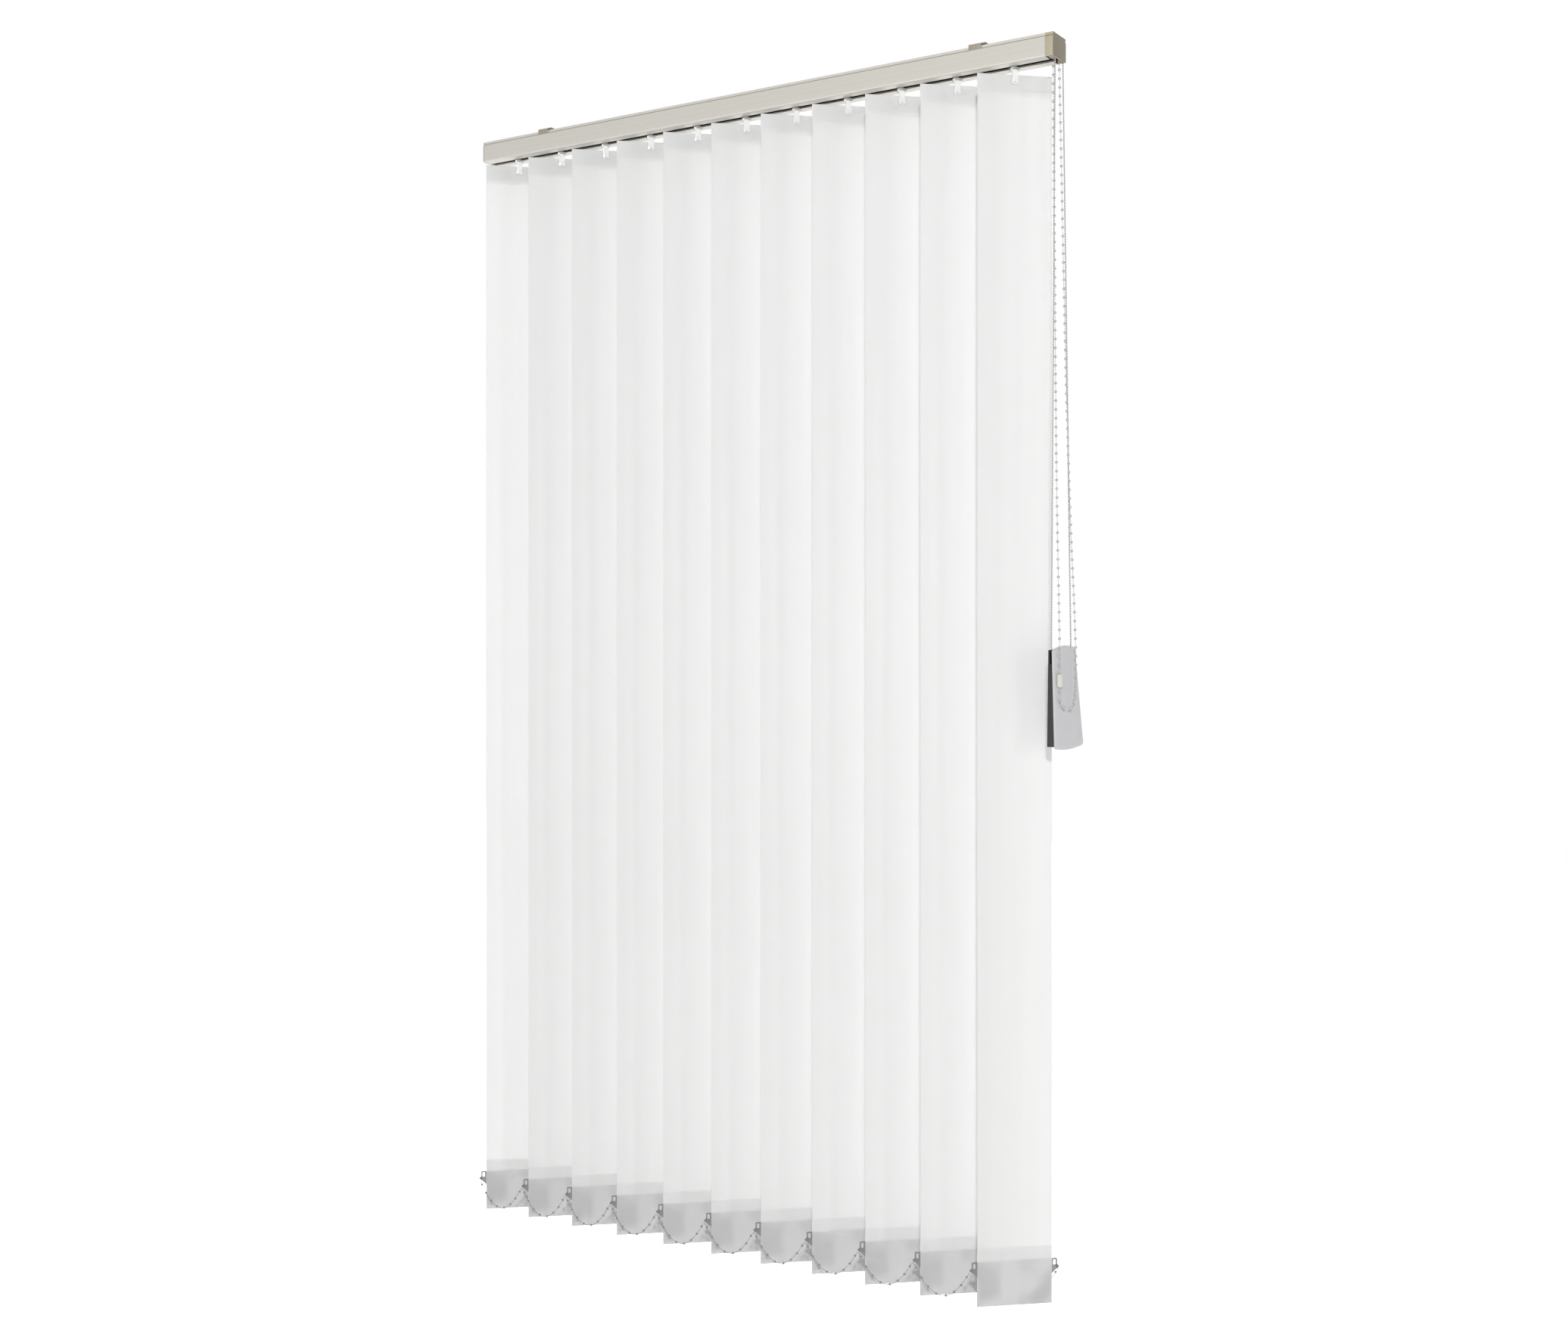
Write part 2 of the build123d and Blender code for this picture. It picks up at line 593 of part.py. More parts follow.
def bead_chain(path, places, bead_radius, sides, side_dir, run_dir, straight_share):
    """Chain along a path with a bead centred at each of the given lengths."""
    turns = [2 * math.pi * step / sides for step in range(sides)]

    def ring(length, radius):
        spot = path.position_at(length, PositionMode.LENGTH)
        heading = path.tangent_at(length, PositionMode.LENGTH)
        along = heading.dot(Vector(*run_dir))
        # Rings stay square to a nearly straight run, which keeps the facets flat
        if abs(along) > straight_share:
            heading = Vector(*run_dir) * math.copysign(1, along)
        level = Plane(spot, x_dir=side_dir, z_dir=heading)
        corners = [(radius * math.cos(turn), radius * math.sin(turn), 0) for turn in turns]
        return [level.from_local_coords(Vector(*corner)) for corner in corners]

    rings = [ring(0, THREAD_RADIUS)]
    for place, following in zip(places, places[1:] + [2 * path.length - places[-1]]):
        rings.append(ring(place, bead_radius))
        rings.append(ring((place + following) / 2, THREAD_RADIUS))
    faces = [Face(Wire.make_polygon(end)) for end in (rings[0], rings[-1])]
    for low, high in zip(rings, rings[1:]):
        for step in range(sides):
            after = (step + 1) % sides
            faces += flat_faces([low[step], low[after], high[after], high[step]])
    return Solid(Shell(faces))


# Tilt chain: from the connector over the chain wheel and round the hanging loop
def tilt_chain_halves():
    """Front half up to the wheel's top, and back half down to the connector's foot."""
    top = ROD_Z + WHEEL_RADIUS
    wrap = WHEEL_RADIUS - SEAT_CLEARANCE
    face = CONTROL_FACE
    crest = (WHEEL_X, ROD_BACK, top)
    front = FilletPolyline(
        (face + CHAIN_FRONT_OUT, -CHAIN_FRONT, RAIL_TOP - CONNECTOR_DROP),
        (face + CHAIN_FRONT_OUT, -CHAIN_FRONT, RAIL_TOP - CHAIN_KNEE_DROP),
        (face - CHAIN_MID_IN, -CHAIN_MID_FRONT, RAIL_TOP - CHAIN_MID_DROP),
        (WHEEL_X, ROD_BACK - WHEEL_RADIUS, top),
        crest,
        radius=[CHAIN_KNEE_BEND, CHAIN_MID_BEND, wrap],
    )
    back = FilletPolyline(
        crest,
        (WHEEL_X, ROD_BACK + WHEEL_RADIUS, top),
        (face + CHAIN_MID_OUT, CHAIN_MID_BACK, RAIL_TOP - CHAIN_MID_DROP),
        (face + CHAIN_BACK_OUT, CHAIN_BACK, RAIL_TOP - CHAIN_KNEE_DROP),
        (face + CHAIN_BACK_OUT, CHAIN_BACK, RAIL_TOP - CHAIN_LOOP_DROP),
        (face + CHAIN_FRONT_OUT, -CHAIN_FRONT, RAIL_TOP - CHAIN_LOOP_DROP),
        (face + CHAIN_FRONT_OUT, -CHAIN_FRONT, RAIL_TOP - CONNECTOR_DROP - CONNECTOR_LENGTH),
        radius=[wrap, CHAIN_MID_BEND, CHAIN_KNEE_BEND, CHAIN_LOOP_BEND, CHAIN_LOOP_BEND],
    )
    return front, back


def tilt_chain():
    front, back = tilt_chain_halves()
    path = Wire(front.edges() + back.edges())
    print("tilt chain length", path.length + CONNECTOR_LENGTH)
    crest = front.length
    below = int((crest - BEAD_SPACING / 2) / BEAD_SPACING)
    count = int((path.length - BEAD_SPACING / 2 - crest) / BEAD_SPACING)
    places = [crest + step * BEAD_SPACING for step in range(-below, count + 1)]
    facing = ((1, 0, 0), (0, 0, 1), CHAIN_STRAIGHT_SHARE)
    return bead_chain(path, places, BEAD_RADIUS, BEAD_SIDES, *facing)


def chain_connector():
    half = CONNECTOR_LENGTH / 2
    wide = CONNECTOR_WIDTH / 2
    corner = CONNECTOR_WIDTH * CONNECTOR_CORNER_SHARE
    side = [(wide, corner - half), (wide, half - corner), (wide - corner, half)]
    outline = [(wide - corner, -half)] + side
    outline = outline + [(-x, z) for x, z in reversed(outline)]
    clasp = slab(outline, ELEVATION, -CONNECTOR_THICKNESS / 2, CONNECTOR_THICKNESS / 2)
    middle = RAIL_TOP - CONNECTOR_DROP - half
    place = Pos(CONTROL_FACE + CHAIN_FRONT_OUT, -CHAIN_FRONT, middle)
    return place * Rot(0, 0, 90 - PENDANT_FACING) * clasp


# Carriers: moulded body on two runners, with the steel spacer that sets the pitch
CARRIER_FOOT = FLANGE_TOP + CARRIER_LIFT
CARRIER_TOP = RAIL_TOP - CARRIER_TOP_DROP


def spacer_strip(number):
    """Strip fixed in its own carrier that reaches through the next one on the return side."""
    foot = RAIL_TOP - SPACER_DROP + number * SPACER_STEP
    head = SPACER_HEAD / 2
    half = SPACER_WIDTH / 2
    far = -LOUVRE_PITCH - SPACER_OVERRUN
    mid = -SPACER_FRONT
    outline = [
        (far, mid - half),
        (-SPACER_HEAD_LENGTH, mid - half),
        (-SPACER_HEAD_LENGTH, mid - head),
        (0, mid - head),
        (0, mid + head),
        (-SPACER_HEAD_LENGTH, mid + head),
        (-SPACER_HEAD_LENGTH, mid + half),
        (far, mid + half),
    ]
    return slab(outline, PLAN, foot, foot + SPACER_THICKNESS)


def carrier(number):
    half = CARRIER_LENGTH / 2
    side = CARRIER_WIDTH / 2
    body = block((-half, -side, CARRIER_FOOT), (half, side, CARRIER_TOP))
    axle_z = FLANGE_TOP + RUNNER_RADIUS + RUNNING_CLEARANCE
    across = Plane(origin=(0, 0, axle_z), x_dir=(1, 0, 0), z_dir=(0, -1, 0))
    body += bar(RUNNER_SIDES, RUNNER_RADIUS, across, side, side + RUNNER_WIDTH)
    body += bar(RUNNER_SIDES, RUNNER_RADIUS, across, -side - RUNNER_WIDTH, -side)
    rod_bore = (ROD_RADIUS + CARRIER_BORE_CLEARANCE) / HEX_FLAT_SHARE
    cord_bore = (CORD_RADIUS + CARRIER_BORE_CLEARANCE) / SQUARE_FLAT_SHARE
    socket = (STEM_RADIUS + STEM_CLEARANCE) / HEX_FLAT_SHARE
    body -= bar(BORE_SIDES, rod_bore, SECTION, -half - OVERRUN, half + OVERRUN, ROD_BACK, ROD_Z)
    body -= bar(CORD_BORE_SIDES, cord_bore, SECTION, -half - OVERRUN, half + OVERRUN, -CORD_FRONT, CORD_Z)
    body -= bar(BORE_SIDES, socket, PLAN, CARRIER_FOOT - OVERRUN, CARRIER_FOOT + SOCKET_DEPTH)
    window_foot = RAIL_TOP - SPACER_DROP - SPACER_STEP
    window_top = RAIL_TOP - SPACER_DROP + LOUVRE_COUNT * SPACER_STEP
    body -= block(
        (-half - OVERRUN, -SPACER_FRONT - SPACER_WINDOW / 2, window_foot),
        (half + OVERRUN, -SPACER_FRONT + SPACER_WINDOW / 2, window_top),
    )
    if number > 0:
        body += spacer_strip(number)
    return Pos(louvre_x(number), 0, 0) * body


# Hanger: clear hook that turns in its carrier, with the stiff insert of the top pocket
def hanger(number):
    stem_top = CARRIER_FOOT + SOCKET_DEPTH - STEM_CLEARANCE
    collar_top = RAIL_FOOT - COLLAR_GAP
    collar_foot = collar_top - COLLAR_HEIGHT
    stem = bar(STEM_SIDES, STEM_RADIUS, PLAN, collar_top, stem_top)
    collar = block(
        (-COLLAR_WIDTH / 2, -COLLAR_DEPTH / 2, collar_foot),
        (COLLAR_WIDTH / 2, COLLAR_DEPTH / 2, collar_top),
    )
    hook_back = FRONT_FACE - HOOK_GAP
    hook_foot = RAIL_FOOT - HOOK_LENGTH
    window_mid = LOUVRE_TOP - WINDOW_DROP - WINDOW_HEIGHT / 2
    blade = block(
        (-HOOK_WIDTH / 2, hook_back - HOOK_THICKNESS, hook_foot),
        (HOOK_WIDTH / 2, hook_back, collar_foot),
    )
    peg = block(
        (-PEG_WIDTH / 2, hook_back, window_mid - PEG_HEIGHT / 2),
        (PEG_WIDTH / 2, hook_back + PEG_REACH, window_mid + PEG_HEIGHT / 2),
    )
    insert_front = FRONT_FACE + CLOTH_THICKNESS + INSERT_CLEARANCE
    insert_top = LOUVRE_TOP - CLOTH_THICKNESS - INSERT_CLEARANCE
    insert = block(
        (-INSERT_WIDTH / 2, insert_front, insert_top - INSERT_HEIGHT),
        (INSERT_WIDTH / 2, insert_front + INSERT_THICKNESS, insert_top),
    )
    hook = stem + collar + blade + peg
    return hung(Compound(children=[hook, insert - louvre_window()]), number)


# Louvre: one length of cloth, welded into a pocket at its top and a hem at its foot
def louvre_window():
    """Opening in the top pocket that the hook's peg goes through."""
    top = LOUVRE_TOP - WINDOW_DROP
    return block(
        (-WINDOW_WIDTH / 2, FRONT_FACE - OVERRUN, top - WINDOW_HEIGHT),
        (WINDOW_WIDTH / 2, POCKET_BACK + OVERRUN, top),
    )


def louvre(number):
    hem_back = HEM_HALF
    ply_back = FRONT_FACE + CLOTH_THICKNESS
    hem_top = LOUVRE_FOOT + HEM_DEPTH
    pocket_foot = LOUVRE_TOP - POCKET_DEPTH
    section = [
        (FRONT_FACE, LOUVRE_FOOT),
        (hem_back, LOUVRE_FOOT),
        (hem_back, hem_top - FOLD_RISE),
        (ply_back, hem_top),
        (ply_back, pocket_foot),
        (POCKET_BACK, pocket_foot + FOLD_RISE),
        (POCKET_BACK, LOUVRE_TOP),
        (FRONT_FACE, LOUVRE_TOP),
    ]
    half = LOUVRE_WIDTH / 2
    cloth = slab(section, SECTION, -half, half)
    cloth -= block(
        (-half - OVERRUN, ply_back, LOUVRE_FOOT + CLOTH_THICKNESS),
        (half + OVERRUN, hem_back - CLOTH_THICKNESS, hem_top - WELD_WIDTH - FOLD_RISE),
    )
    cloth -= block(
        (-half - OVERRUN, ply_back, pocket_foot + WELD_WIDTH + FOLD_RISE),
        (half + OVERRUN, POCKET_BACK - CLOTH_THICKNESS, LOUVRE_TOP - CLOTH_THICKNESS),
    )
    return hung(cloth - louvre_window(), number)


# Weight: a plate in the hem with a windowed ear and a knob at each end
def weight(number):
    foot = LOUVRE_FOOT + CLOTH_THICKNESS + INSERT_CLEARANCE
    top = foot + WEIGHT_HEIGHT
    inner = LOUVRE_WIDTH / 2 - WEIGHT_SIDE_GAP
    outer = LOUVRE_WIDTH / 2 + EAR_REACH
    half = [
        (outer, top),
        (outer, top - EAR_DROP - KNOB_RADIUS),
        (inner + WEIGHT_SIDE_GAP, top - EAR_HEIGHT),
        (inner, top - EAR_HEIGHT),
        (inner, foot + WEIGHT_CORNER),
        (inner - WEIGHT_CORNER, foot),
    ]
    outline = half + [(-x, z) for x, z in reversed(half)]
    plate = slab(outline, ELEVATION, -WEIGHT_THICKNESS / 2, WEIGHT_THICKNESS / 2)
    near = LOUVRE_WIDTH / 2 + EAR_RIM
    far = outer - EAR_RIM
    for side in (-1, 1):
        low = min(side * near, side * far)
        high = max(side * near, side * far)
        plate -= block(
            (low, -WEIGHT_THICKNESS, top - EAR_RIM - EAR_WINDOW_HEIGHT),
            (high, WEIGHT_THICKNESS, top - EAR_RIM),
        )
        start = min(side * (outer - EAR_RIM), side * KNOB_OUT)
        stop = max(side * (outer - EAR_RIM), side * KNOB_OUT)
        plate += bar(KNOB_SIDES, KNOB_RADIUS, SECTION, start, stop, 0, KNOB_Z)
    return hung(plate, number)


# Spacer chains: beads hung in a sag from each louvre's knob to the next
def knob_place(number, side):
    """Tip of one weight's knob at rest, on the room side (-1) or the window side (1)."""
    turn = math.radians(REST_ANGLE)
    return (
        louvre_x(number) + side * KNOB_OUT * math.cos(turn),
        side * KNOB_OUT * math.sin(turn),
    )


def spacer_chain(side):
    spans = []
    for number in range(LOUVRE_COUNT - 1):
        x, y = knob_place(number, side)
        start = x + SPAN_START
        top = KNOB_Z - KNOB_RADIUS - THREAD_RADIUS - SPAN_GAP
        length = LOUVRE_PITCH - 2 * SPAN_START
        points = []
        for step in range(SPAN_POINTS):
            share = step / (SPAN_POINTS - 1)
            drop = SPAN_SAG * (1 - (2 * share - 1) ** 2)
            points.append((start + share * length, y, top - drop))
        path = Wire(Spline(*points).edges())
        gap = path.length / SPAN_BEADS
        places = [gap * (bead + 1 / 2) for bead in range(SPAN_BEADS)]
        facing = ((0, 1, 0), (1, 0, 0), SPAN_STRAIGHT_SHARE)
        spans.append(bead_chain(path, places, SPAN_BEAD_RADIUS, SPAN_SIDES, *facing))
    return Compound(children=spans)


def main():
    os.makedirs("parts", exist_ok=True)
    rail_half = BRACKET_SPACING / 2
    parts = {
        "headrail": headrail(),
        "ceiling_brackets": Compound(children=[ceiling_bracket(-rail_half), ceiling_bracket(rail_half)]),
        "return_end_cap": return_end_cap(),
        "return_pulley": return_pulley(),
        "control_end_cap": control_end_cap(),
        "tilt_rod": tilt_rod(),
        "chain_wheel": chain_wheel(),
        "draw_cord_rail": draw_cord_rail(),
        "draw_cord_loop": draw_cord_loop(),
        "pendant_cover": pendant_cover(),
        "pendant_body": pendant_body(),
        "pendant_pulley": pendant_pulley(),
        "tilt_chain": tilt_chain(),
        "chain_connector": chain_connector(),
        "spacer_chain_front": spacer_chain(-1),
        "spacer_chain_back": spacer_chain(1),
    }
    for number in range(LOUVRE_COUNT):
        parts[f"carrier_{number + 1:02d}"] = carrier(number)
        parts[f"hanger_{number + 1:02d}"] = hanger(number)
        parts[f"louvre_{number + 1:02d}"] = louvre(number)
        parts[f"weight_{number + 1:02d}"] = weight(number)
    for name, solid in parts.items():
        export_step(solid, f"parts/{name}.step")


main()
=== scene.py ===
import math

import bmesh
import bpy
from mathutils import Matrix, Vector


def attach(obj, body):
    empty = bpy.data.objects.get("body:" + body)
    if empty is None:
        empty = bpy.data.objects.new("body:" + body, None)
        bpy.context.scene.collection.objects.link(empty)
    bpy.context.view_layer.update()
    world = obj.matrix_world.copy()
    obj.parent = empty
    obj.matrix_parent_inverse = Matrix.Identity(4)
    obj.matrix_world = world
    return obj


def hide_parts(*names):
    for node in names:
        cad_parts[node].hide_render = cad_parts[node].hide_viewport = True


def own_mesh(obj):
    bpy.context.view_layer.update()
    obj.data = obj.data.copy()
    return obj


# Vertical blind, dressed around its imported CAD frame. Lengths are written in millimetres
# and turned to metres as meshes are made. X runs along the rail to the control end,
# Y from the room to the window, and the origin is on the ceiling between the brackets.
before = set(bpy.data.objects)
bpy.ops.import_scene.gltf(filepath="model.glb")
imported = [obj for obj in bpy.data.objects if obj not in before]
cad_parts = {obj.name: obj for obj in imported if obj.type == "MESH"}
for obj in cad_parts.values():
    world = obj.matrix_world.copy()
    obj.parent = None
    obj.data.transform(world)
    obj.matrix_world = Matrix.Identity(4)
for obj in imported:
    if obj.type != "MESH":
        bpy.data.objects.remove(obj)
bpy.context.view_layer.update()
MM = 0.001


# Camera: stands to the right of the blind at half its height and looks level at it, so the
# rail's underside shows and the verticals stay upright.
LENS = 43.277
SENSOR = 36.0
CAMERA_PLACE = (1.29348, -1.97851, -0.72384)
CAMERA_TURN = 32.237


def put(name, data):
    """New object of the given data, linked to the scene."""
    made = bpy.data.objects.new(name, data)
    bpy.context.scene.collection.objects.link(made)
    return made


lens = bpy.data.cameras.new("camera")
lens.lens = LENS
lens.sensor_width = SENSOR
lens.sensor_fit = "HORIZONTAL"
lens.clip_end = 50.0
camera = put("camera", lens)
camera.location = CAMERA_PLACE
camera.rotation_euler = (math.radians(90), 0, math.radians(CAMERA_TURN))
bpy.context.scene.camera = camera
bpy.context.scene.view_settings.view_transform = "Standard"


# Headrail: one aluminium extrusion with a lip and a groove along each top edge and a slot
# below. It is anodised in a warm silver and cut to length, and keeps its CAD shape.
RAIL_SILVER = "#CFCCC5"
RAIL_SILVER_DEEP = "#CAC7BF"
# Painted shade: colour of the rail's inside, and the box it fills.
RAIL_INSIDE_SHADE = "#4A4641"
RAIL_INNER_HALF = 16.7
RAIL_INNER_TOP = -7.2
RAIL_INNER_FOOT = -27.9
DIE_LINE = 1.6


def linear(hex_colour):
    """sRGB hex value as a linear colour with full alpha."""
    parts = [int(hex_colour[i:i + 2], 16) / 255 for i in (1, 3, 5)]
    return [p / 12.92 if p <= 0.04045 else ((p + 0.055) / 1.055) ** 2.4 for p in parts] + [1.0]


def add_node(tree, kind, feeds=None, **settings):
    """Adds a shader node with its settings, and fills or links its inputs."""
    made = tree.nodes.new("ShaderNode" + kind)
    for name, value in settings.items():
        setattr(made, name, value)
    for socket, value in (feeds or {}).items():
        if isinstance(value, bpy.types.NodeSocket):
            tree.links.new(value, made.inputs[socket])
        else:
            made.inputs[socket].default_value = value
    return made


def start_finish(name, **sockets):
    """New material with its shader's even values set; gives material, tree and shader."""
    finish = bpy.data.materials.new(name)
    finish.use_nodes = True
    shader = finish.node_tree.nodes["Principled BSDF"]
    for socket, value in sockets.items():
        shader.inputs[socket.replace("_", " ")].default_value = value
    return finish, finish.node_tree, shader


def per_metre(size):
    """Pattern scale that gives features of a size in millimetres."""
    return 1000.0 / size


def dress_node(name, finish):
    """Gives a CAD node that keeps its shape its real finish."""
    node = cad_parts[name]
    if not node.material_slots:
        node.data.materials.append(finish)
    for place in node.material_slots:
        place.material = finish


# Anodised aluminium, extruded and etched: satin, a soft reflection drawn out along the rail.
# Real die lines are about 0.2 mm apart; they are drawn coarser here so that they show.
aluminium, tree, shader = start_finish("anodised_aluminium", Metallic=0.55)
place = add_node(tree, "TexCoord").outputs["Object"]
stretched = add_node(
    tree, "Mapping",
    {"Vector": place, "Scale": (0.0, per_metre(DIE_LINE), per_metre(DIE_LINE))},
)
lines = add_node(tree, "TexNoise", {"Vector": stretched.outputs[0], "Scale": 1.0, "Detail": 3.0})
tone = add_node(tree, "ValToRGB", {"Fac": lines.outputs["Fac"]})
tone.color_ramp.elements[0].position = 0.35
tone.color_ramp.elements[0].color = linear(RAIL_SILVER_DEEP)
tone.color_ramp.elements[1].position = 0.65
tone.color_ramp.elements[1].color = linear(RAIL_SILVER)
# Painted shade: the faces inside the rail, above its slot, get a dark colour for the shade in there;
# the real inside is the same aluminium.
axes = add_node(tree, "SeparateXYZ", {"Vector": place})
deep = add_node(tree, "Math", {0: axes.outputs["Y"]}, operation="ABSOLUTE").outputs[0]
inside = 1.0
for distance, test, limit in (
    (deep, "LESS_THAN", RAIL_INNER_HALF),
    (axes.outputs["Z"], "GREATER_THAN", RAIL_INNER_FOOT),
    (axes.outputs["Z"], "LESS_THAN", RAIL_INNER_TOP),
):
    passed = add_node(tree, "Math", {0: distance, 1: limit * MM}, operation=test).outputs[0]
    inside = add_node(tree, "Math", {0: inside, 1: passed}, operation="MULTIPLY").outputs[0]
colour = add_node(
    tree, "Mix", {0: inside, 6: tone.outputs["Color"], 7: linear(RAIL_INSIDE_SHADE)}, data_type="RGBA"
)
tree.links.new(colour.outputs[2], shader.inputs["Base Color"])
gloss = add_node(tree, "MapRange", {"Value": lines.outputs["Fac"], "To Min": 0.38, "To Max": 0.46})
tree.links.new(gloss.outputs["Result"], shader.inputs["Roughness"])
relief = add_node(
    tree, "Bump", {"Height": lines.outputs["Fac"], "Strength": 0.05, "Distance": 0.03 * MM}
)
tree.links.new(relief.outputs["Normal"], shader.inputs["Normal"])
dress_node("headrail", aluminium)


# Ceiling brackets: two spring clips, folded from steel strip and lacquered beige. Each is
# screwed to the ceiling, and its claws snap over the rail's lips.
BRACKET_BEIGE = "#ADA495"
BRACKET_SHADE = "#989083"
BRACKET_ROUND = 0.25
EDGE_STEPS = 2
EDGE_CREASE = 35.0
SMOOTH_CREASE = 38.0
FLAT_ANGLE = 1.0
SAME_POINT = 0.004


def evaluated(piece):
    """Mesh of a piece with its modifiers or its curve settings carried out."""
    bpy.context.view_layer.update()
    solved = piece.evaluated_get(bpy.context.evaluated_depsgraph_get())
    return bpy.data.meshes.new_from_object(solved)


def settle(piece, crease=SMOOTH_CREASE):
    """Applies a piece's modifiers and smooths its faces up to a crease angle."""
    made = evaluated(piece)
    piece.modifiers.clear()
    made.name = piece.name
    piece.data = made
    made.polygons.foreach_set("use_smooth", [True] * len(made.polygons))
    made.set_sharp_from_angle(angle=math.radians(crease))


def softened(name, node, rounding, finish):
    """Copy of a CAD node with its flat faces merged and its sharp edges rounded."""
    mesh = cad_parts[node].data.copy()
    mesh.name = name
    work = bmesh.new()
    work.from_mesh(mesh)
    bmesh.ops.remove_doubles(work, verts=work.verts, dist=SAME_POINT * MM)
    bmesh.ops.dissolve_limit(
        work, angle_limit=math.radians(FLAT_ANGLE), verts=work.verts, edges=work.edges
    )
    work.to_mesh(mesh)
    work.free()
    mesh.materials.clear()
    mesh.materials.append(finish)
    piece = put(name, mesh)
    bevel = piece.modifiers.new("edge", "BEVEL")
    bevel.width = rounding * MM
    bevel.segments = EDGE_STEPS
    bevel.limit_method = "ANGLE"
    bevel.angle_limit = math.radians(EDGE_CREASE)
    bevel.use_clamp_overlap = True
    settle(piece)
    return piece


def fit(piece, body, node):
    """Mounts a piece on its body in place of a CAD node."""
    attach(piece, body)
    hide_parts(node)


# Lacquered steel strip: an even beige coat with a faint orange-peel ripple.
lacquer, tree, shader = start_finish("lacquered_steel", Roughness=0.45)
place = add_node(tree, "TexCoord").outputs["Object"]
ripple = add_node(tree, "TexNoise", {"Vector": place, "Scale": per_metre(3.0), "Detail": 2.0})
tone = add_node(
    tree, "Mix", {0: ripple.outputs["Fac"], 6: linear(BRACKET_SHADE), 7: linear(BRACKET_BEIGE)},
    data_type="RGBA",
)
tree.links.new(tone.outputs[2], shader.inputs["Base Color"])
relief = add_node(
    tree, "Bump", {"Height": ripple.outputs["Fac"], "Strength": 0.2, "Distance": 0.04 * MM}
)
tree.links.new(relief.outputs["Normal"], shader.inputs["Normal"])
brackets = softened("ceiling_clips", "ceiling_brackets", BRACKET_ROUND, lacquer)
fit(brackets, "rail", "ceiling_brackets")


# End caps: ABS mouldings pushed into the rail's ends. The control end's is beige and open
# below for the chain and the cord; the return end's is thin and takes the rail's own tone.
CAP_BEIGE = "#BDB4A0"
CAP_BEIGE_DEEP = "#B2A994"
# Painted shade on the control cap's end face, over this depth from its end:
CAP_END_SHADE = "#7F7766"
CAP_END_DEPTH = 0.1
RETURN_GREY = "#BFB9B1"
RETURN_GREY_DEEP = "#B5AFA6"
CAP_ROUND = 0.55
SPARK_GRAIN = 0.9
GRAIN_DEPTH = 0.04
TONE_DRIFT = 18.0


def moulded_plastic(name, light, deep, roughness, grain=SPARK_GRAIN, **sockets):
    """Injection-moulded plastic: a spark-eroded grain and a slow drift of tone."""
    finish, tree, shader = start_finish(name, Roughness=roughness, **sockets)
    place = add_node(tree, "TexCoord").outputs["Object"]
    drift = add_node(tree, "TexNoise", {"Vector": place, "Scale": per_metre(TONE_DRIFT), "Detail": 2.0})
    tone = add_node(
        tree, "Mix", {0: drift.outputs["Fac"], 6: linear(deep), 7: linear(light)}, data_type="RGBA"
    )
    tree.links.new(tone.outputs[2], shader.inputs["Base Color"])
    pits = add_node(tree, "TexNoise", {"Vector": place, "Scale": per_metre(grain), "Detail": 2.0})
    relief = add_node(
        tree, "Bump", {"Height": pits.outputs["Fac"], "Strength": 0.25, "Distance": GRAIN_DEPTH * MM}
    )
    tree.links.new(relief.outputs["Normal"], shader.inputs["Normal"])
    return finish


# ABS with a fine spark grain: matt, with only the rounded edges catching the light. The control cap's
# end face is painted darker than its sides, as painted shade for the little light that falls on it from
# the control end.
cap_abs = moulded_plastic("moulded_abs_beige", CAP_BEIGE, CAP_BEIGE_DEEP, 0.5)
tree = cap_abs.node_tree
shader = tree.nodes["Principled BSDF"]
axes = add_node(tree, "SeparateXYZ", {"Vector": add_node(tree, "TexCoord").outputs["Object"]})
cap_end = max(corner[0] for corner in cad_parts["control_end_cap"].bound_box)
on_end = add_node(
    tree, "Math", {0: axes.outputs["X"], 1: cap_end - CAP_END_DEPTH * MM}, operation="GREATER_THAN"
)
beige = shader.inputs["Base Color"].links[0].from_socket
tone = add_node(tree, "Mix", {0: on_end.outputs[0], 6: beige, 7: linear(CAP_END_SHADE)}, data_type="RGBA")
tree.links.new(tone.outputs[2], shader.inputs["Base Color"])
return_abs = moulded_plastic("moulded_abs_silver", RETURN_GREY, RETURN_GREY_DEEP, 0.45)
for name, node, finish in (
    ("control_cap", "control_end_cap", cap_abs),
    ("return_cap", "return_end_cap", return_abs),
):
    fit(softened(name, node, CAP_ROUND, finish), "rail", node)


# Drive: fluted tilt rod, chain wheel and return pulley inside the rail, and the pendant's
# sheave. They are drawn or moulded plainly, sit in the dark and keep their CAD shapes.
ROD_SILVER = "#B9B7B2"
ROD_SHADE = "#A6A49F"
WHEEL_WHITE = "#D6D5CF"
WHEEL_SHADE = "#C9C8C1"

# Drawn aluminium: bright, with draw marks along the rod.
drawn, tree, shader = start_finish("drawn_aluminium", Metallic=1.0)
place = add_node(tree, "TexCoord").outputs["Object"]
stretched = add_node(
    tree, "Mapping", {"Vector": place, "Scale": (per_metre(120.0), per_metre(0.8), per_metre(0.8))}
)
marks = add_node(tree, "TexNoise", {"Vector": stretched.outputs[0], "Scale": 1.0, "Detail": 2.0})
tone = add_node(
    tree, "Mix", {0: marks.outputs["Fac"], 6: linear(ROD_SHADE), 7: linear(ROD_SILVER)},
    data_type="RGBA",
)
tree.links.new(tone.outputs[2], shader.inputs["Base Color"])
gloss = add_node(tree, "MapRange", {"Value": marks.outputs["Fac"], "To Min": 0.25, "To Max": 0.4})
tree.links.new(gloss.outputs["Result"], shader.inputs["Roughness"])
dress_node("tilt_rod", drawn)

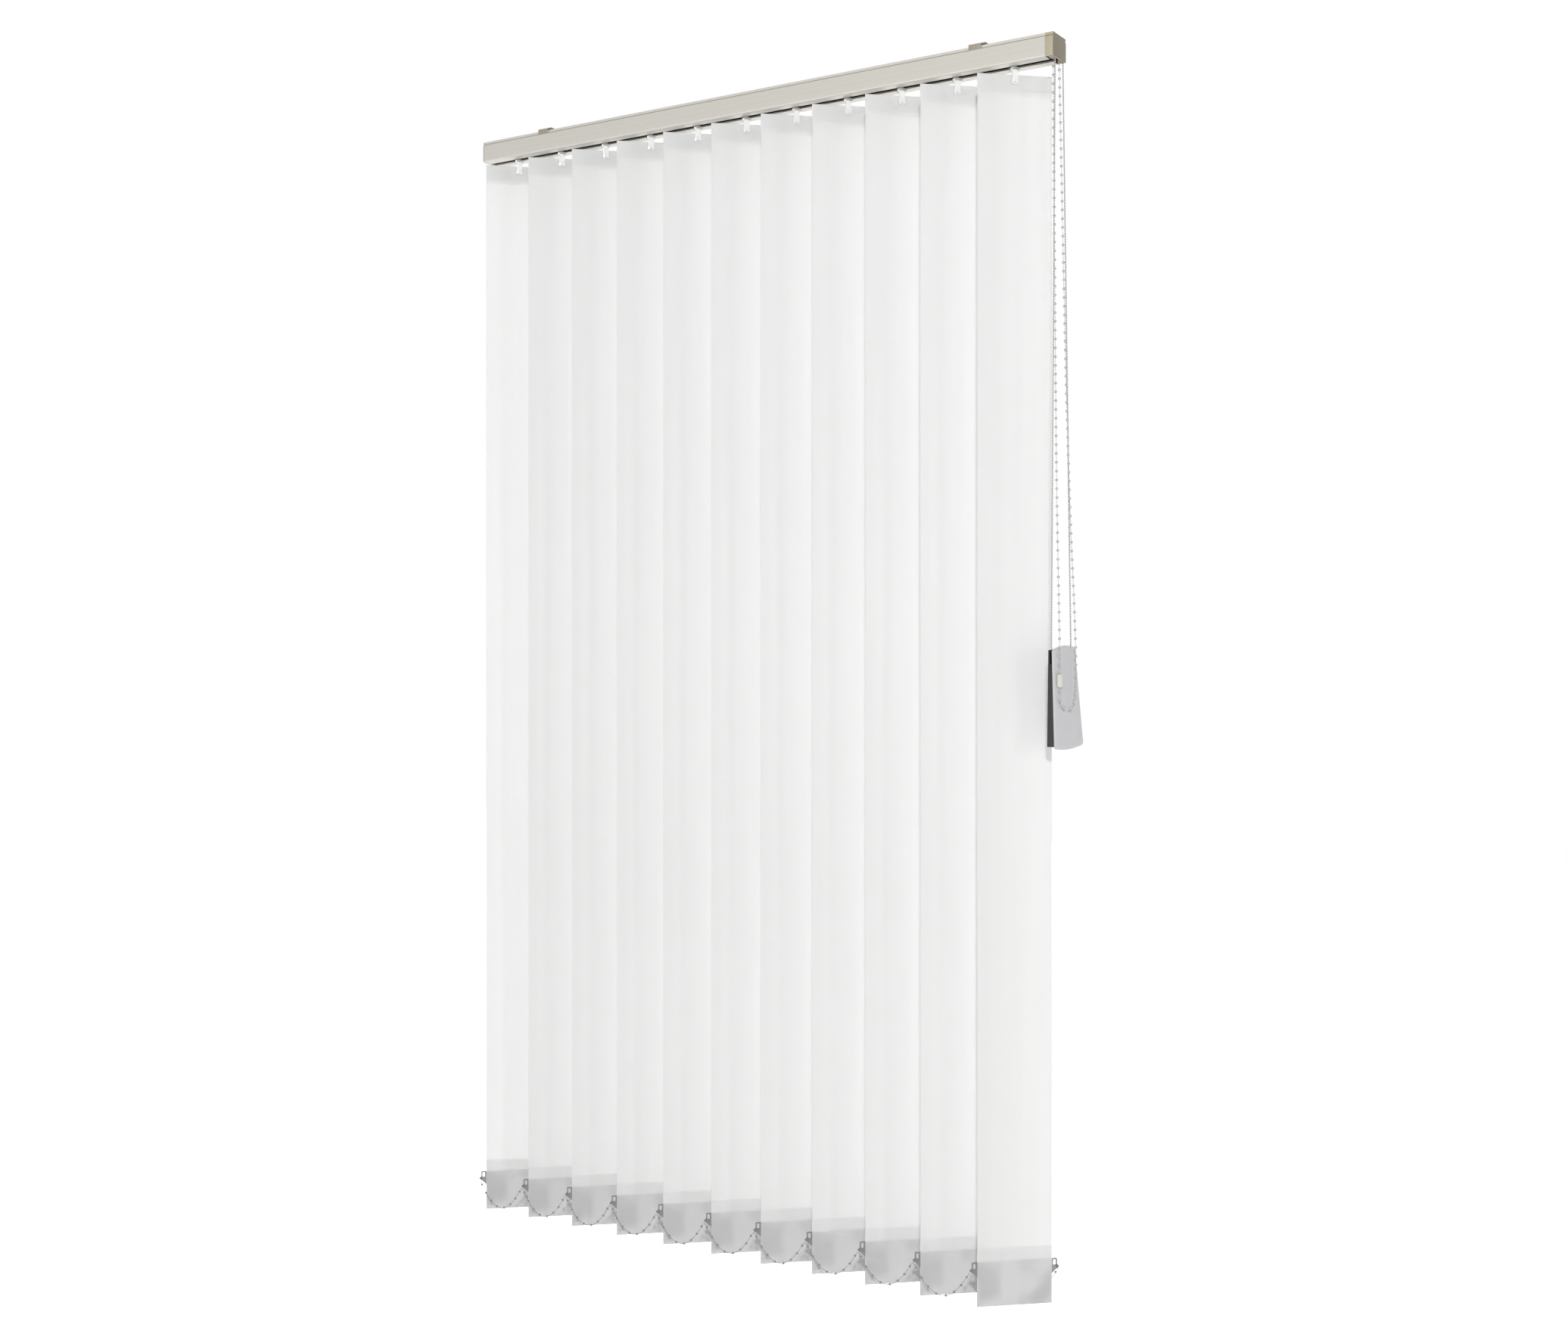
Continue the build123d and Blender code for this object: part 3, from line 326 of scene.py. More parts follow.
# Acetal: white, waxy and smooth, as gears and rollers are.
acetal = moulded_plastic("moulded_acetal", WHEEL_WHITE, WHEEL_SHADE, 0.32, grain=2.0)
for name in ("chain_wheel", "return_pulley", "pendant_pulley"):
    dress_node(name, acetal)


# Carriers: one small moulded body for each louvre that rolls on the rail's flanges, with
# the spring-steel strip that sets the pitch. Only their undersides show, through the slot.
LOUVRES = 11
CARRIER_DARK = "#4B4742"
CARRIER_SHADE = "#3E3A36"

# Filled nylon: dark grey-brown and matt.
carrier_nylon = moulded_plastic("moulded_nylon_dark", CARRIER_DARK, CARRIER_SHADE, 0.55)
for number in range(1, LOUVRES + 1):
    dress_node(f"carrier_{number:02d}", carrier_nylon)


# Hooks: clear polycarbonate mouldings. The stem turns in its carrier, a collar closes the
# slot, and a blade with two ribs reaches down in front of the louvre, where a peg holds it.
PITCH = 74.0
FIRST_AXIS = -380.25
REST_ANGLE = 42.5
COLLAR_TOP = -30.0
COLLAR_FOOT = -34.0
COLLAR_WIDTH = 11.0
COLLAR_DEPTH = 7.0
COLLAR_CHEEK = 2.6
COLLAR_FLANGE = 1.2
STEM_RADIUS = 2.5
BLADE_FOOT = -49.6
BLADE_FRONT = -3.15
BLADE_BACK = -1.65
BLADE_WIDTH = 7.0
TAB_WIDTH = 8.4
TAB_TOP = -42.6
RIB_WIDTH = 1.0
RIB_RISE = 0.25
PEG_MIDDLE = -45.7
PEG_HEIGHT = 3.0
PEG_WIDTH = 5.0
PEG_BACK = 1.4
SLIT_FOOT = PEG_MIDDLE - 2.6
SLIT_HEIGHT = 0.9
HOOK_ROUND = 0.3
PLATE_POINT = 0.002
STEM_SIDES = 20
INSERT_WIDTH = 82.0
INSERT_TOP = -38.95
INSERT_FOOT = -57.95
INSERT_MIDDLE = -0.4
INSERT_THICKNESS = 0.8
INSERT_SLOT = (3.5, -48.0, -43.4)
HOOK_CLEAR = "#FCFDFD"
INSERT_WHITE = "#FDFDFD"
INSERT_SHADE = "#FAFAFA"


def rounded_box(half_width, foot, top, corner):
    """Outline of an upright rectangle with its corners taken off."""
    side = [(half_width - corner, foot), (half_width, foot + corner)]
    side += [(half_width, top - corner), (half_width - corner, top)]
    return side + [(-x, z) for x, z in reversed(side)]


def stamped(outlines, front, back, rounding):
    """Mesh of a flat plate that stands upright between two depths, with rounded edges.

    The first outline is its edge and the others are openings, as points across and up."""
    drawn_plate = bpy.data.curves.new("plate", "CURVE")
    drawn_plate.dimensions = "2D"
    drawn_plate.fill_mode = "BOTH"
    drawn_plate.extrude = max((back - front) / 2 - rounding, 0) * MM
    drawn_plate.bevel_depth = rounding * MM
    drawn_plate.bevel_resolution = 2
    for number, outline in enumerate(outlines):
        spline = drawn_plate.splines.new("POLY")
        spline.points.add(len(outline) - 1)
        inward = rounding if number == 0 else -rounding
        for point, (x, z) in zip(spline.points, shrunk(outline, inward)):
            point.co = (x * MM, z * MM, 0, 1)
        spline.use_cyclic_u = True
    holder = put("plate", drawn_plate)
    plate = evaluated(holder)
    bpy.data.objects.remove(holder)
    middle = Matrix.Translation((0, (front + back) / 2 * MM, 0))
    plate.transform(middle @ Matrix.Rotation(math.pi / 2, 4, "X"))
    work = bmesh.new()
    work.from_mesh(plate)
    bmesh.ops.remove_doubles(work, verts=work.verts, dist=PLATE_POINT * MM)
    bmesh.ops.recalc_face_normals(work, faces=work.faces)
    work.to_mesh(plate)
    work.free()
    return plate


def shrunk(outline, amount):
    """Outline moved inwards by an amount, square to its edges."""
    turn = sum(a[0] * b[1] - b[0] * a[1] for a, b in zip(outline, outline[1:] + outline[:1]))
    amount = math.copysign(1, turn) * amount
    moved = []
    for before, here, after in zip(outline[-1:] + outline[:-1], outline, outline[1:] + outline[:1]):
        first = Vector((here[0] - before[0], here[1] - before[1])).normalized()
        second = Vector((after[0] - here[0], after[1] - here[1])).normalized()
        square = Vector((-first.y - second.y, first.x + second.x))
        square *= amount * 2 / max(square.length_squared, 0.2)
        moved.append((here[0] + square.x, here[1] + square.y))
    return moved


def skin(work, rings):
    """Faces from each ring of points to the next, and over both ends."""
    count = len(rings[0])
    for low, high in zip(rings, rings[1:]):
        for step in range(count):
            follow = (step + 1) % count
            work.faces.new((low[step], low[follow], high[follow], high[step]))
    work.faces.new(list(reversed(rings[0])))
    work.faces.new(rings[-1])


def as_mesh(work, name):
    """Mesh of what has been worked out, which is then let go."""
    made = bpy.data.meshes.new(name)
    work.to_mesh(made)
    work.free()
    return made


def turned(profile, sides, heading, place):
    """Mesh of a body of revolution: (distance, radius) pairs along a heading from a place."""
    work = bmesh.new()
    angles = [2 * math.pi * step / sides for step in range(sides)]
    skin(work, [
        [work.verts.new((r * math.cos(a) * MM, r * math.sin(a) * MM, distance * MM)) for a in angles]
        for distance, r in profile
    ])
    made = as_mesh(work, "turned")
    turn = Vector((0, 0, 1)).rotation_difference(Vector(heading)).to_matrix().to_4x4()
    made.transform(Matrix.Translation(Vector(place) * MM) @ turn)
    return made


def joined(name, parts):
    """One mesh from several (mesh, material) parts, smoothed up to a crease angle."""
    work = bmesh.new()
    finishes = []
    for mesh, finish in parts:
        if finish not in finishes:
            finishes.append(finish)
        before = len(work.faces)
        work.from_mesh(mesh)
        work.faces.ensure_lookup_table()
        for face in work.faces[before:]:
            face.material_index = finishes.index(finish)
            face.smooth = True
        bpy.data.meshes.remove(mesh)
    made = as_mesh(work, name)
    for finish in finishes:
        made.materials.append(finish)
    made.set_sharp_from_angle(angle=math.radians(SMOOTH_CREASE))
    return made


def hung_place(number):
    """Where a louvre's own axis stands at rest, turned to its rest angle."""
    axis = Matrix.Translation(((FIRST_AXIS + number * PITCH) * MM, 0, 0))
    return axis @ Matrix.Rotation(math.radians(REST_ANGLE), 4, "Z")


def hang(name, mesh, number, node):
    """Puts one louvre's piece in its place, on its body, in place of its CAD node."""
    piece = put(name, mesh)
    piece.matrix_world = hung_place(number)
    fit(piece, f"louvre_{number + 1:02d}", node)
    return piece


# Polycarbonate, moulded and polished: water-clear, so that it shows by its bright edges.
polycarbonate, tree, shader = start_finish(
    "clear_polycarbonate", Transmission_Weight=0.25, IOR=1.5, Specular_IOR_Level=0.5
)
place = add_node(tree, "TexCoord").outputs["Object"]
flow = add_node(tree, "TexNoise", {"Vector": place, "Scale": per_metre(4.0), "Detail": 1.0})
gloss = add_node(tree, "MapRange", {"Value": flow.outputs["Fac"], "To Min": 0.06, "To Max": 0.2})
tree.links.new(gloss.outputs["Result"], shader.inputs["Roughness"])
shader.inputs["Base Color"].default_value = linear(HOOK_CLEAR)
insert_plastic = moulded_plastic(
    "extruded_pvc_white", INSERT_WHITE, INSERT_SHADE, 0.45, Transmission_Weight=0.8
)

blade = rounded_box(TAB_WIDTH / 2, BLADE_FOOT, TAB_TOP, 1.6)[:3]
blade += [(BLADE_WIDTH / 2, TAB_TOP + 0.8), (BLADE_WIDTH / 2, COLLAR_FOOT + 0.4)]
blade = blade + [(-x, z) for x, z in reversed(blade)]
slit = rounded_box(PEG_WIDTH / 2 - 0.4, SLIT_FOOT, SLIT_FOOT + SLIT_HEIGHT, 0.2)
ribs = []
for side in (-1, 1):
    middle = side * (BLADE_WIDTH - RIB_WIDTH) / 2
    rib = rounded_box(RIB_WIDTH / 2, TAB_TOP + 0.4, COLLAR_FOOT + 0.6, 0.3)
    rib = [(x + middle, z) for x, z in rib]
    ribs.append((stamped([rib], BLADE_FRONT - RIB_RISE, BLADE_FRONT + 0.5, 0.2), polycarbonate))
collar_outline = rounded_box(COLLAR_WIDTH / 2, COLLAR_FOOT, COLLAR_TOP, 0.9)
collar_core = rounded_box(
    COLLAR_WIDTH / 2 - COLLAR_CHEEK, COLLAR_FOOT + COLLAR_FLANGE, COLLAR_TOP - COLLAR_FLANGE, 0.3
)
collar_half = COLLAR_DEPTH / 2
peg_half = PEG_HEIGHT / 2
peg_outline = rounded_box(PEG_WIDTH / 2, PEG_MIDDLE - peg_half, PEG_MIDDLE + peg_half, 0.4)
insert_outline = rounded_box(INSERT_WIDTH / 2, INSERT_FOOT, INSERT_TOP, 0.8)
insert_window = rounded_box(*INSERT_SLOT, 0.3)
insert_half = INSERT_THICKNESS / 2
stem = [(0.0, STEM_RADIUS), (9.0, STEM_RADIUS), (9.6, STEM_RADIUS - 0.3), (10.2, STEM_RADIUS - 0.9)]
hook_mesh = joined("hook", [
    (stamped([blade, slit], BLADE_FRONT, BLADE_BACK, HOOK_ROUND), polycarbonate),
    *ribs,
    (stamped([collar_outline, collar_core], -collar_half, collar_half, 0.5), polycarbonate),
    (stamped([peg_outline], BLADE_BACK - 0.4, PEG_BACK, HOOK_ROUND), polycarbonate),
    (turned(stem, STEM_SIDES, (0, 0, 1), (0, 0, COLLAR_TOP - 0.2)), polycarbonate),
    (stamped([insert_outline, insert_window], INSERT_MIDDLE - insert_half,
             INSERT_MIDDLE + insert_half, 0.15), insert_plastic),
])
for number in range(LOUVRES):
    hang(f"hook_{number + 1:02d}", hook_mesh, number, f"hanger_{number + 1:02d}")


# Louvres: one length of white woven polyester each, cut to 89 mm. Its top is folded back and
# welded into a pocket for the insert, its foot into a hem for the weight.
CLOTH = 0.45
HALF_WIDTH = 44.5
TOP = -38.4
FOOT = -1455.4
POCKET = 25.0
HEM = 67.0
WELD = 2.6
FRONT_PLY = -1.125
POCKET_PLY = 0.325
HEM_PLY = 1.125
WELD_PLY = FRONT_PLY + CLOTH + 0.02
WEIGHT_TOP = FOOT + 51.55
WEIGHT_FOOT = FOOT + 0.55
WEIGHT_HALF = 43.0
WINDOW_HALF = 3.5
WINDOW_TOP = TOP - 5.0
WINDOW_FOOT = TOP - 9.6
CLOTH_WHITE = "#F5F5F5"
# Painted light: lighter copies of the cloth's white for the pocket, insert, hem and weight zones; the
# deeper one is painted shade.
CLOTH_POCKET_LIT = "#F9F9F9"
CLOTH_INSERT_LIT = "#FEFEFE"
CLOTH_HEM_LIT = "#F7F7F7"
CLOTH_WEIGHT_LIT = "#F8F8F8"
CLOTH_WEIGHT_SHADE = "#ECECED"
CLOTH_GLOW = 0.6
SLUB_WIDTH = 16.0
SLUB_RUN = 420.0
THREAD_WIDTH = 2.2
WARP_RUN = 40.0
WEFT_RUN = 30.0
SHADE_PATCH_SIZE = 46.0
CLOTH_COLUMNS = [
    -44.5, -43, -38, -32, -24, -16, -9, -WINDOW_HALF, 0,
    WINDOW_HALF, 9, 16, 24, 32, 38, 43, 44.5,
]
CLOTH_ROWS = 46
POCKET_ROWS = (TOP - 14, WINDOW_FOOT, WINDOW_TOP, TOP - 3)
HEM_ROWS = (44, 36, 28, 20, 12, 5)
BACK_ROWS = (5, 14, 26, 38, 51.5, HEM - WELD - 3.4)
WELD_START = 19.6
WELD_END = 0.6
WELD_STEP = 2.6
WELD_DENT = 0.12
HEM_DENT = 0.16
HEM_DENT_HEIGHT = 57.5
FREE_START = 12
# Length, step from louvre to louvre and size of the long and short waves, the cup and the twist.
SLACK_WAVES = ((210, 1.7, 0.5), (97, 2.9, 0.25), (480, 0.9, 0.9), (330, 2.1, 0.5))
CUP_LEVEL = 0.3
CLOTH_CREASE = 50.0


def fold(middle, height, radius, start, stop, steps=6):
    """Points round a fold of the cloth, as depth and height."""
    turn = [math.radians(start + (stop - start) * step / steps) for step in range(steps + 1)]
    return [(middle + radius * math.cos(a), height + radius * math.sin(a)) for a in turn]


def cloth_path():
    """The cloth's edge, from the pocket's weld over the top and down to the hem's weld."""
    top_fold = (POCKET_PLY - FRONT_PLY) / 2
    foot_fold = (HEM_PLY - FRONT_PLY) / 2
    up = [(WELD_PLY, TOP - POCKET), (WELD_PLY, TOP - POCKET + WELD)]
    up += [(POCKET_PLY, TOP - POCKET + WELD + WELD_STEP)]
    up += [(POCKET_PLY, z) for z in POCKET_ROWS]
    over = fold(FRONT_PLY + top_fold, TOP - CLOTH / 2 - top_fold, top_fold, 0, 180)
    pocket = [(FRONT_PLY, z) for z in (*reversed(POCKET_ROWS), TOP - WELD_START)]
    pocket += [(FRONT_PLY + WELD_DENT, TOP - POCKET + WELD / 2)]
    pocket += [(FRONT_PLY, TOP - POCKET - WELD_END)]
    start, stop = TOP - POCKET - FREE_START, FOOT + HEM + FREE_START
    front = [(FRONT_PLY, start + (stop - start) * row / CLOTH_ROWS) for row in range(CLOTH_ROWS + 1)]
    hem = [(FRONT_PLY, FOOT + HEM + WELD_END), (FRONT_PLY + WELD_DENT, FOOT + HEM - WELD / 2)]
    hem += [(FRONT_PLY + HEM_DENT, FOOT + HEM_DENT_HEIGHT), (FRONT_PLY, WEIGHT_TOP)]
    hem += [(FRONT_PLY, FOOT + z) for z in HEM_ROWS]
    under = fold(0, FOOT + CLOTH / 2 + foot_fold, foot_fold, 180, 360)
    back = [(HEM_PLY, FOOT + z) for z in BACK_ROWS]
    back += [(WELD_PLY, FOOT + HEM - WELD), (WELD_PLY, FOOT + HEM)]
    return up + over + pocket + front + hem + under + back


def cloth_mesh(name, number, finish):
    """Cloth of one louvre: the edge path drawn across its width, with a slight slack of its own."""
    path = cloth_path()
    work = bmesh.new()
    rows = []
    for depth, height in path:
        free = (TOP - POCKET - height) * (height - FOOT - HEM)
        slack = max(free, 0) / ((TOP - FOOT - POCKET - HEM) / 2) ** 2 if depth == FRONT_PLY else 0
        long, short, cup, twist = [
            size * math.sin(height / length + step * number) for length, step, size in SLACK_WAVES
        ]
        row = []
        for u in CLOTH_COLUMNS:
            share = u / HALF_WIDTH
            bulge = long + short + cup * (share ** 2 - CUP_LEVEL) + twist * share
            row.append(work.verts.new((u * MM, (depth + slack * bulge) * MM, height * MM)))
        rows.append(row)
    for (first, second), here, after in zip(zip(path, path[1:]), rows, rows[1:]):
        in_window = {first[1], second[1]} == {WINDOW_TOP, WINDOW_FOOT}
        for column, (left, right) in enumerate(zip(CLOTH_COLUMNS, CLOTH_COLUMNS[1:])):
            if in_window and abs(left + right) < 2 * WINDOW_HALF:
                continue
            work.faces.new((here[column], after[column], after[column + 1], here[column + 1]))
    bmesh.ops.recalc_face_normals(work, faces=work.faces)
    made = as_mesh(work, name)
    made.materials.append(finish)
    sheet = put(name, made)
    ply = sheet.modifiers.new("ply", "SOLIDIFY")
    ply.thickness = CLOTH * MM
    ply.offset = 0
    ply.use_even_offset = True
    settle(sheet, CLOTH_CREASE)
    made = sheet.data
    bpy.data.objects.remove(sheet)
    return made


def edge_mask(tree, distance, soft):
    """1 where a distance in metres is below zero and 0 above, over a soft border."""
    return add_node(
        tree, "MapRange",
        {"Value": distance, "From Min": -soft * MM, "From Max": soft * MM,
         "To Min": 1.0, "To Max": 0.0},
        interpolation_type="SMOOTHSTEP",
    ).outputs["Result"]


# Woven polyester, bleached and coated so that it hangs flat: matt white, with faint slubs down its
# length. What lies in the pocket and the hem shows through as a greyer field, as the cloth lets light
# through. The pocket, insert, hem and weight zones are painted a little lighter than the plain cloth,
# as painted light, and soft patches over the weight are painted darker, as painted shade.
# Real threads are about 0.4 mm wide; they are drawn coarser here so that they show.
cloth, tree, shader = start_finish(
    "woven_polyester", Roughness=0.82, Sheen_Weight=0.15, Sheen_Roughness=0.5
)
place = add_node(tree, "TexCoord").outputs["Object"]
axes = add_node(tree, "SeparateXYZ", {"Vector": place})
out = add_node(tree, "Math", {0: axes.outputs["X"]}, operation="ABSOLUTE").outputs[0]
up = axes.outputs["Z"]
below_pocket, above_hem, above_weight, below_insert, beside_insert = [
    add_node(tree, "Math", {0: far, 1: near}, operation="SUBTRACT").outputs[0]
    for far, near in (
        ((TOP - POCKET) * MM, up), (up, (FOOT + HEM) * MM), (up, WEIGHT_TOP * MM),
        (INSERT_FOOT * MM, up), (out, INSERT_WIDTH / 2 * MM),
    )
]
off_insert = add_node(
    tree, "Math", {0: below_insert, 1: beside_insert}, operation="MAXIMUM"
).outputs[0]
# Painted shade: soft darker patches over the weight, placed by noise.
aside = add_node(tree, "Mapping", {"Vector": place, "Location": (0.31, 0.0, 0.07)})
shade_patch_noise = add_node(
    tree, "TexNoise",
    {"Vector": aside.outputs[0], "Scale": per_metre(SHADE_PATCH_SIZE), "Detail": 1.0},
)
shade_patches = add_node(
    tree, "MapRange", {"Value": shade_patch_noise.outputs["Fac"], "From Min": 0.38, "From Max": 0.62},
    interpolation_type="SMOOTHSTEP",
)
under_weight = add_node(
    tree, "Mix",
    {0: shade_patches.outputs["Result"], 6: linear(CLOTH_WEIGHT_SHADE), 7: linear(CLOTH_WEIGHT_LIT)},
    data_type="RGBA",
).outputs[2]
# Painted light: the pocket, insert, hem and weight zones get lighter whites than the plain cloth.
colour = linear(CLOTH_WHITE)
for mask, shade in (
    (edge_mask(tree, below_pocket, 0.5), linear(CLOTH_POCKET_LIT)),
    (edge_mask(tree, off_insert, 0.6), linear(CLOTH_INSERT_LIT)),
    (edge_mask(tree, above_hem, 0.5), linear(CLOTH_HEM_LIT)),
    (edge_mask(tree, above_weight, 0.8), under_weight),
):
    colour = add_node(tree, "Mix", {0: mask, 6: colour, 7: shade}, data_type="RGBA").outputs[2]
patterns = []
for wide, long in ((SLUB_WIDTH, SLUB_RUN), (THREAD_WIDTH, WARP_RUN), (WEFT_RUN, THREAD_WIDTH)):
    drawn_out = add_node(
        tree, "Mapping",
        {"Vector": place, "Scale": (per_metre(wide), per_metre(wide), per_metre(long))},
    )
    patterns.append(add_node(
        tree, "TexNoise", {"Vector": drawn_out.outputs[0], "Scale": 1.0, "Detail": 2.0}
    ).outputs["Fac"])
slubs, warp, weft = patterns
streak = add_node(
    tree, "MapRange",
    {"Value": slubs, "From Min": 0.3, "From Max": 0.7, "To Min": 0.985, "To Max": 1.0},
)
colour = add_node(
    tree, "Mix", {0: 1.0, 6: colour, 7: streak.outputs["Result"]},
    data_type="RGBA", blend_type="MULTIPLY",
).outputs[2]
tree.links.new(colour, shader.inputs["Base Color"])
weave = add_node(tree, "Math", {0: warp, 1: weft}, operation="ADD").outputs[0]
relief = add_node(tree, "Bump", {"Height": weave, "Strength": 0.22, "Distance": 0.12 * MM})
tree.links.new(relief.outputs["Normal"], shader.inputs["Normal"])
glow = add_node(tree, "BsdfTranslucent", {"Color": colour})
both = add_node(tree, "MixShader", {0: CLOTH_GLOW, 1: shader.outputs[0], 2: glow.outputs[0]})
tree.links.new(both.outputs[0], tree.nodes["Material Output"].inputs["Surface"])

for number in range(LOUVRES):
    label = f"{number + 1:02d}"
    name = f"louvre_cloth_{label}"
    shape = cloth_mesh(name, number, cloth)
    louvre = hang(name, shape, number, f"louvre_{label}")


# Bottom weights: a jacketed steel strip slid into each hem, with grey moulded ends. An ear
# at each end stands out of the hem with a window in it and a cone-shaped knob that the
# spacer chain clips over.
EAR_OUT = 51.1
EAR_HEIGHT = 17.6
EAR_RIM = 1.7
EAR_WINDOW = 6.0
KNOB_Z = -1413.35
KNOB_BASE = 2.7
KNOB_TIP = 0.8
KNOB_OUT = 53.7
KNOB_LENGTH = 4.1
KNOB_PROFILE = [
    (0.0, 1.1), (0.5, 1.3), (0.9, KNOB_BASE), (1.3, KNOB_BASE),
    (3.4, KNOB_TIP + 0.25), (3.8, KNOB_TIP), (KNOB_LENGTH, 0.3),
]
KNOB_SIDES = 18
PLATE_HALF = 0.8
PLATE_ROUND = 0.25
WEIGHT_CORNER = 12.0
WEIGHT_GREY = "#9A9D9F"
WEIGHT_SHADE = "#85888A"
WEIGHT_COAT = "#F4F4F4"
WEIGHT_SEAM = 36.5
SEAM_HALF = 0.4


def weight_mesh():
    """Plate with two ears and their knobs, about the louvre's own axis."""
    half = [
        (EAR_OUT - 0.8, WEIGHT_TOP), (EAR_OUT, WEIGHT_TOP - 0.8), (EAR_OUT, KNOB_Z - 2.0),
        (HALF_WIDTH, WEIGHT_TOP - EAR_HEIGHT), (WEIGHT_HALF, WEIGHT_TOP - EAR_HEIGHT),
        (WEIGHT_HALF, WEIGHT_FOOT + WEIGHT_CORNER), (WEIGHT_HALF - WEIGHT_CORNER, WEIGHT_FOOT),
    ]
    outlines = [half + [(-x, z) for x, z in reversed(half)]]
    parts = []
    for side in (-1, 1):
        near, far = HALF_WIDTH + EAR_RIM, EAR_OUT - EAR_RIM
        middle = side * (near + far) / 2
        top = WEIGHT_TOP - EAR_RIM
        window = rounded_box((far - near) / 2, top - EAR_WINDOW, top, 0.35)
        outlines.append([(x + middle, z) for x, z in window])
        root = (side * (KNOB_OUT - KNOB_LENGTH), 0, KNOB_Z)
        parts.append((turned(KNOB_PROFILE, KNOB_SIDES, (side, 0, 0), root), weight_grey))
    plate = stamped(outlines, -PLATE_HALF, PLATE_HALF, PLATE_ROUND)
    return joined("weight", [(plate, weight_grey)] + parts)


# Filled polypropylene: mid grey, a little glossy on its rounded edges.
# Inside the hem the plate is steel strip in a thick white jacket that lets some light
# through, and a seam shows where the moulded end at the window side is clipped on.
weight_grey = moulded_plastic(
    "moulded_polypropylene_grey", WEIGHT_GREY, WEIGHT_SHADE, 0.4, Transmission_Weight=0.45
)
tree = weight_grey.node_tree
shader = tree.nodes["Principled BSDF"]
axes = add_node(tree, "SeparateXYZ", {"Vector": add_node(tree, "TexCoord").outputs["Object"]})
colour = shader.inputs["Base Color"].links[0].from_socket
for middle, half, shade in (
    (0.0, HALF_WIDTH, WEIGHT_COAT), (WEIGHT_SEAM, SEAM_HALF, WEIGHT_SHADE)
):
    off = add_node(tree, "Math", {0: axes.outputs["X"], 1: middle * MM}, operation="SUBTRACT")
    off = add_node(tree, "Math", {0: off.outputs[0]}, operation="ABSOLUTE")
    past = add_node(tree, "Math", {0: off.outputs[0], 1: half * MM}, operation="SUBTRACT")
    mask = edge_mask(tree, past.outputs[0], 0.2)
    colour = add_node(
        tree, "Mix", {0: mask, 6: colour, 7: linear(shade)}, data_type="RGBA"
    ).outputs[2]
tree.links.new(colour, shader.inputs["Base Color"])
weight_shape = weight_mesh()
for number in range(LOUVRES):
    label = f"{number + 1:02d}"
    hang(f"bottom_weight_{label}", weight_shape, number, f"weight_{label}")


# Spacer chains: a fine moulded bead chain along each side of the louvres' feet, clipped to the knobs so
# that every span hangs in the same sag. On the blind it gathers as the louvres are drawn; here it is
# made hanging at rest.
SPAN_INSET = 0.9
SPAN_SAG = 32.0
SPAN_BEADS = 8
SPAN_BEAD = 1.5
THREAD = 0.35
BALL_STEPS = 6
SPAN_SIDES = 10
SPAN_TOP = KNOB_Z - 2.0 - THREAD - 0.1
KNOB_REACH = 53.3
CHAIN_GREY = "#8F9294"
CHAIN_SHADE = "#7E8183"


def smooth_route(controls):
    """Points along the smooth line that a route's points pull, in millimetres."""
    line = bpy.data.curves.new("route", "CURVE")
    line.dimensions = "3D"
    spline = line.splines.new("NURBS")
    spline.points.add(len(controls) - 1)
    for point, place in zip(spline.points, controls):
        point.co = (*place, 1)
    spline.order_u = 3
    spline.use_endpoint_u = True
    spline.resolution_u = 24
    holder = put("route", line)
    mesh = evaluated(holder)
    points = [vertex.co.copy() for vertex in mesh.vertices]
    bpy.data.objects.remove(holder)
    bpy.data.meshes.remove(mesh)
    return points


def measured(points):
    """Distance along a line at each of its points."""
    run = [0.0]
    for here, after in zip(points, points[1:]):
        run.append(run[-1] + (after - here).length)
    return run


def swept(points, stations, rings):
    """Mesh of a round section carried along a line.

    Each station is a distance along the line, and its ring is a list of (angle, radius)."""
    run = measured(points)
    headings = [(after - before).normalized() for before, after in
                zip(points[:1] + points[:-1], points[1:] + points[-1:])]
    side = headings[0].orthogonal().normalized()
    sides = [side]
    for before, after in zip(headings, headings[1:]):
        side = before.rotation_difference(after) @ side
        side = (side - after * side.dot(after)).normalized()
        sides.append(side)
    work = bmesh.new()
    made = []
    index = 0
    for distance, ring in zip(stations, rings):
        while index < len(run) - 2 and run[index + 1] < distance:
            index += 1
        share = (distance - run[index]) / max(run[index + 1] - run[index], 1e-9)
        place = points[index].lerp(points[index + 1], min(max(share, 0), 1))
        heading = headings[index].lerp(headings[index + 1], share).normalized()
        out = sides[index].lerp(sides[index + 1], share)
        out = (out - heading * out.dot(heading)).normalized()
        round_it = heading.cross(out)
        made.append([
            work.verts.new((place + (out * math.cos(a) + round_it * math.sin(a)) * r) * MM)
            for a, r in ring
        ])
    skin(work, made)
    return as_mesh(work, "swept")


def beaded(points, places, bead, thread, sides):
    """Mesh of a chain moulded on a thread, with a ball at each of the given distances."""
    length = measured(points)[-1]
    swell = math.asin(thread / bead)
    turns = [swell + (math.pi - 2 * swell) * step / BALL_STEPS for step in range(BALL_STEPS + 1)]
    marks = [(0.0, thread), (length, thread)]
    for place in places:
        marks += [(place - bead * math.cos(t), bead * math.sin(t)) for t in turns]
    for before, after in zip(places, places[1:]):
        marks.append(((before + after) / 2, thread))
    marks.sort()
    ring = [2 * math.pi * step / sides for step in range(sides)]
    return swept(points, [m[0] for m in marks], [[(a, m[1]) for a in ring] for m in marks])


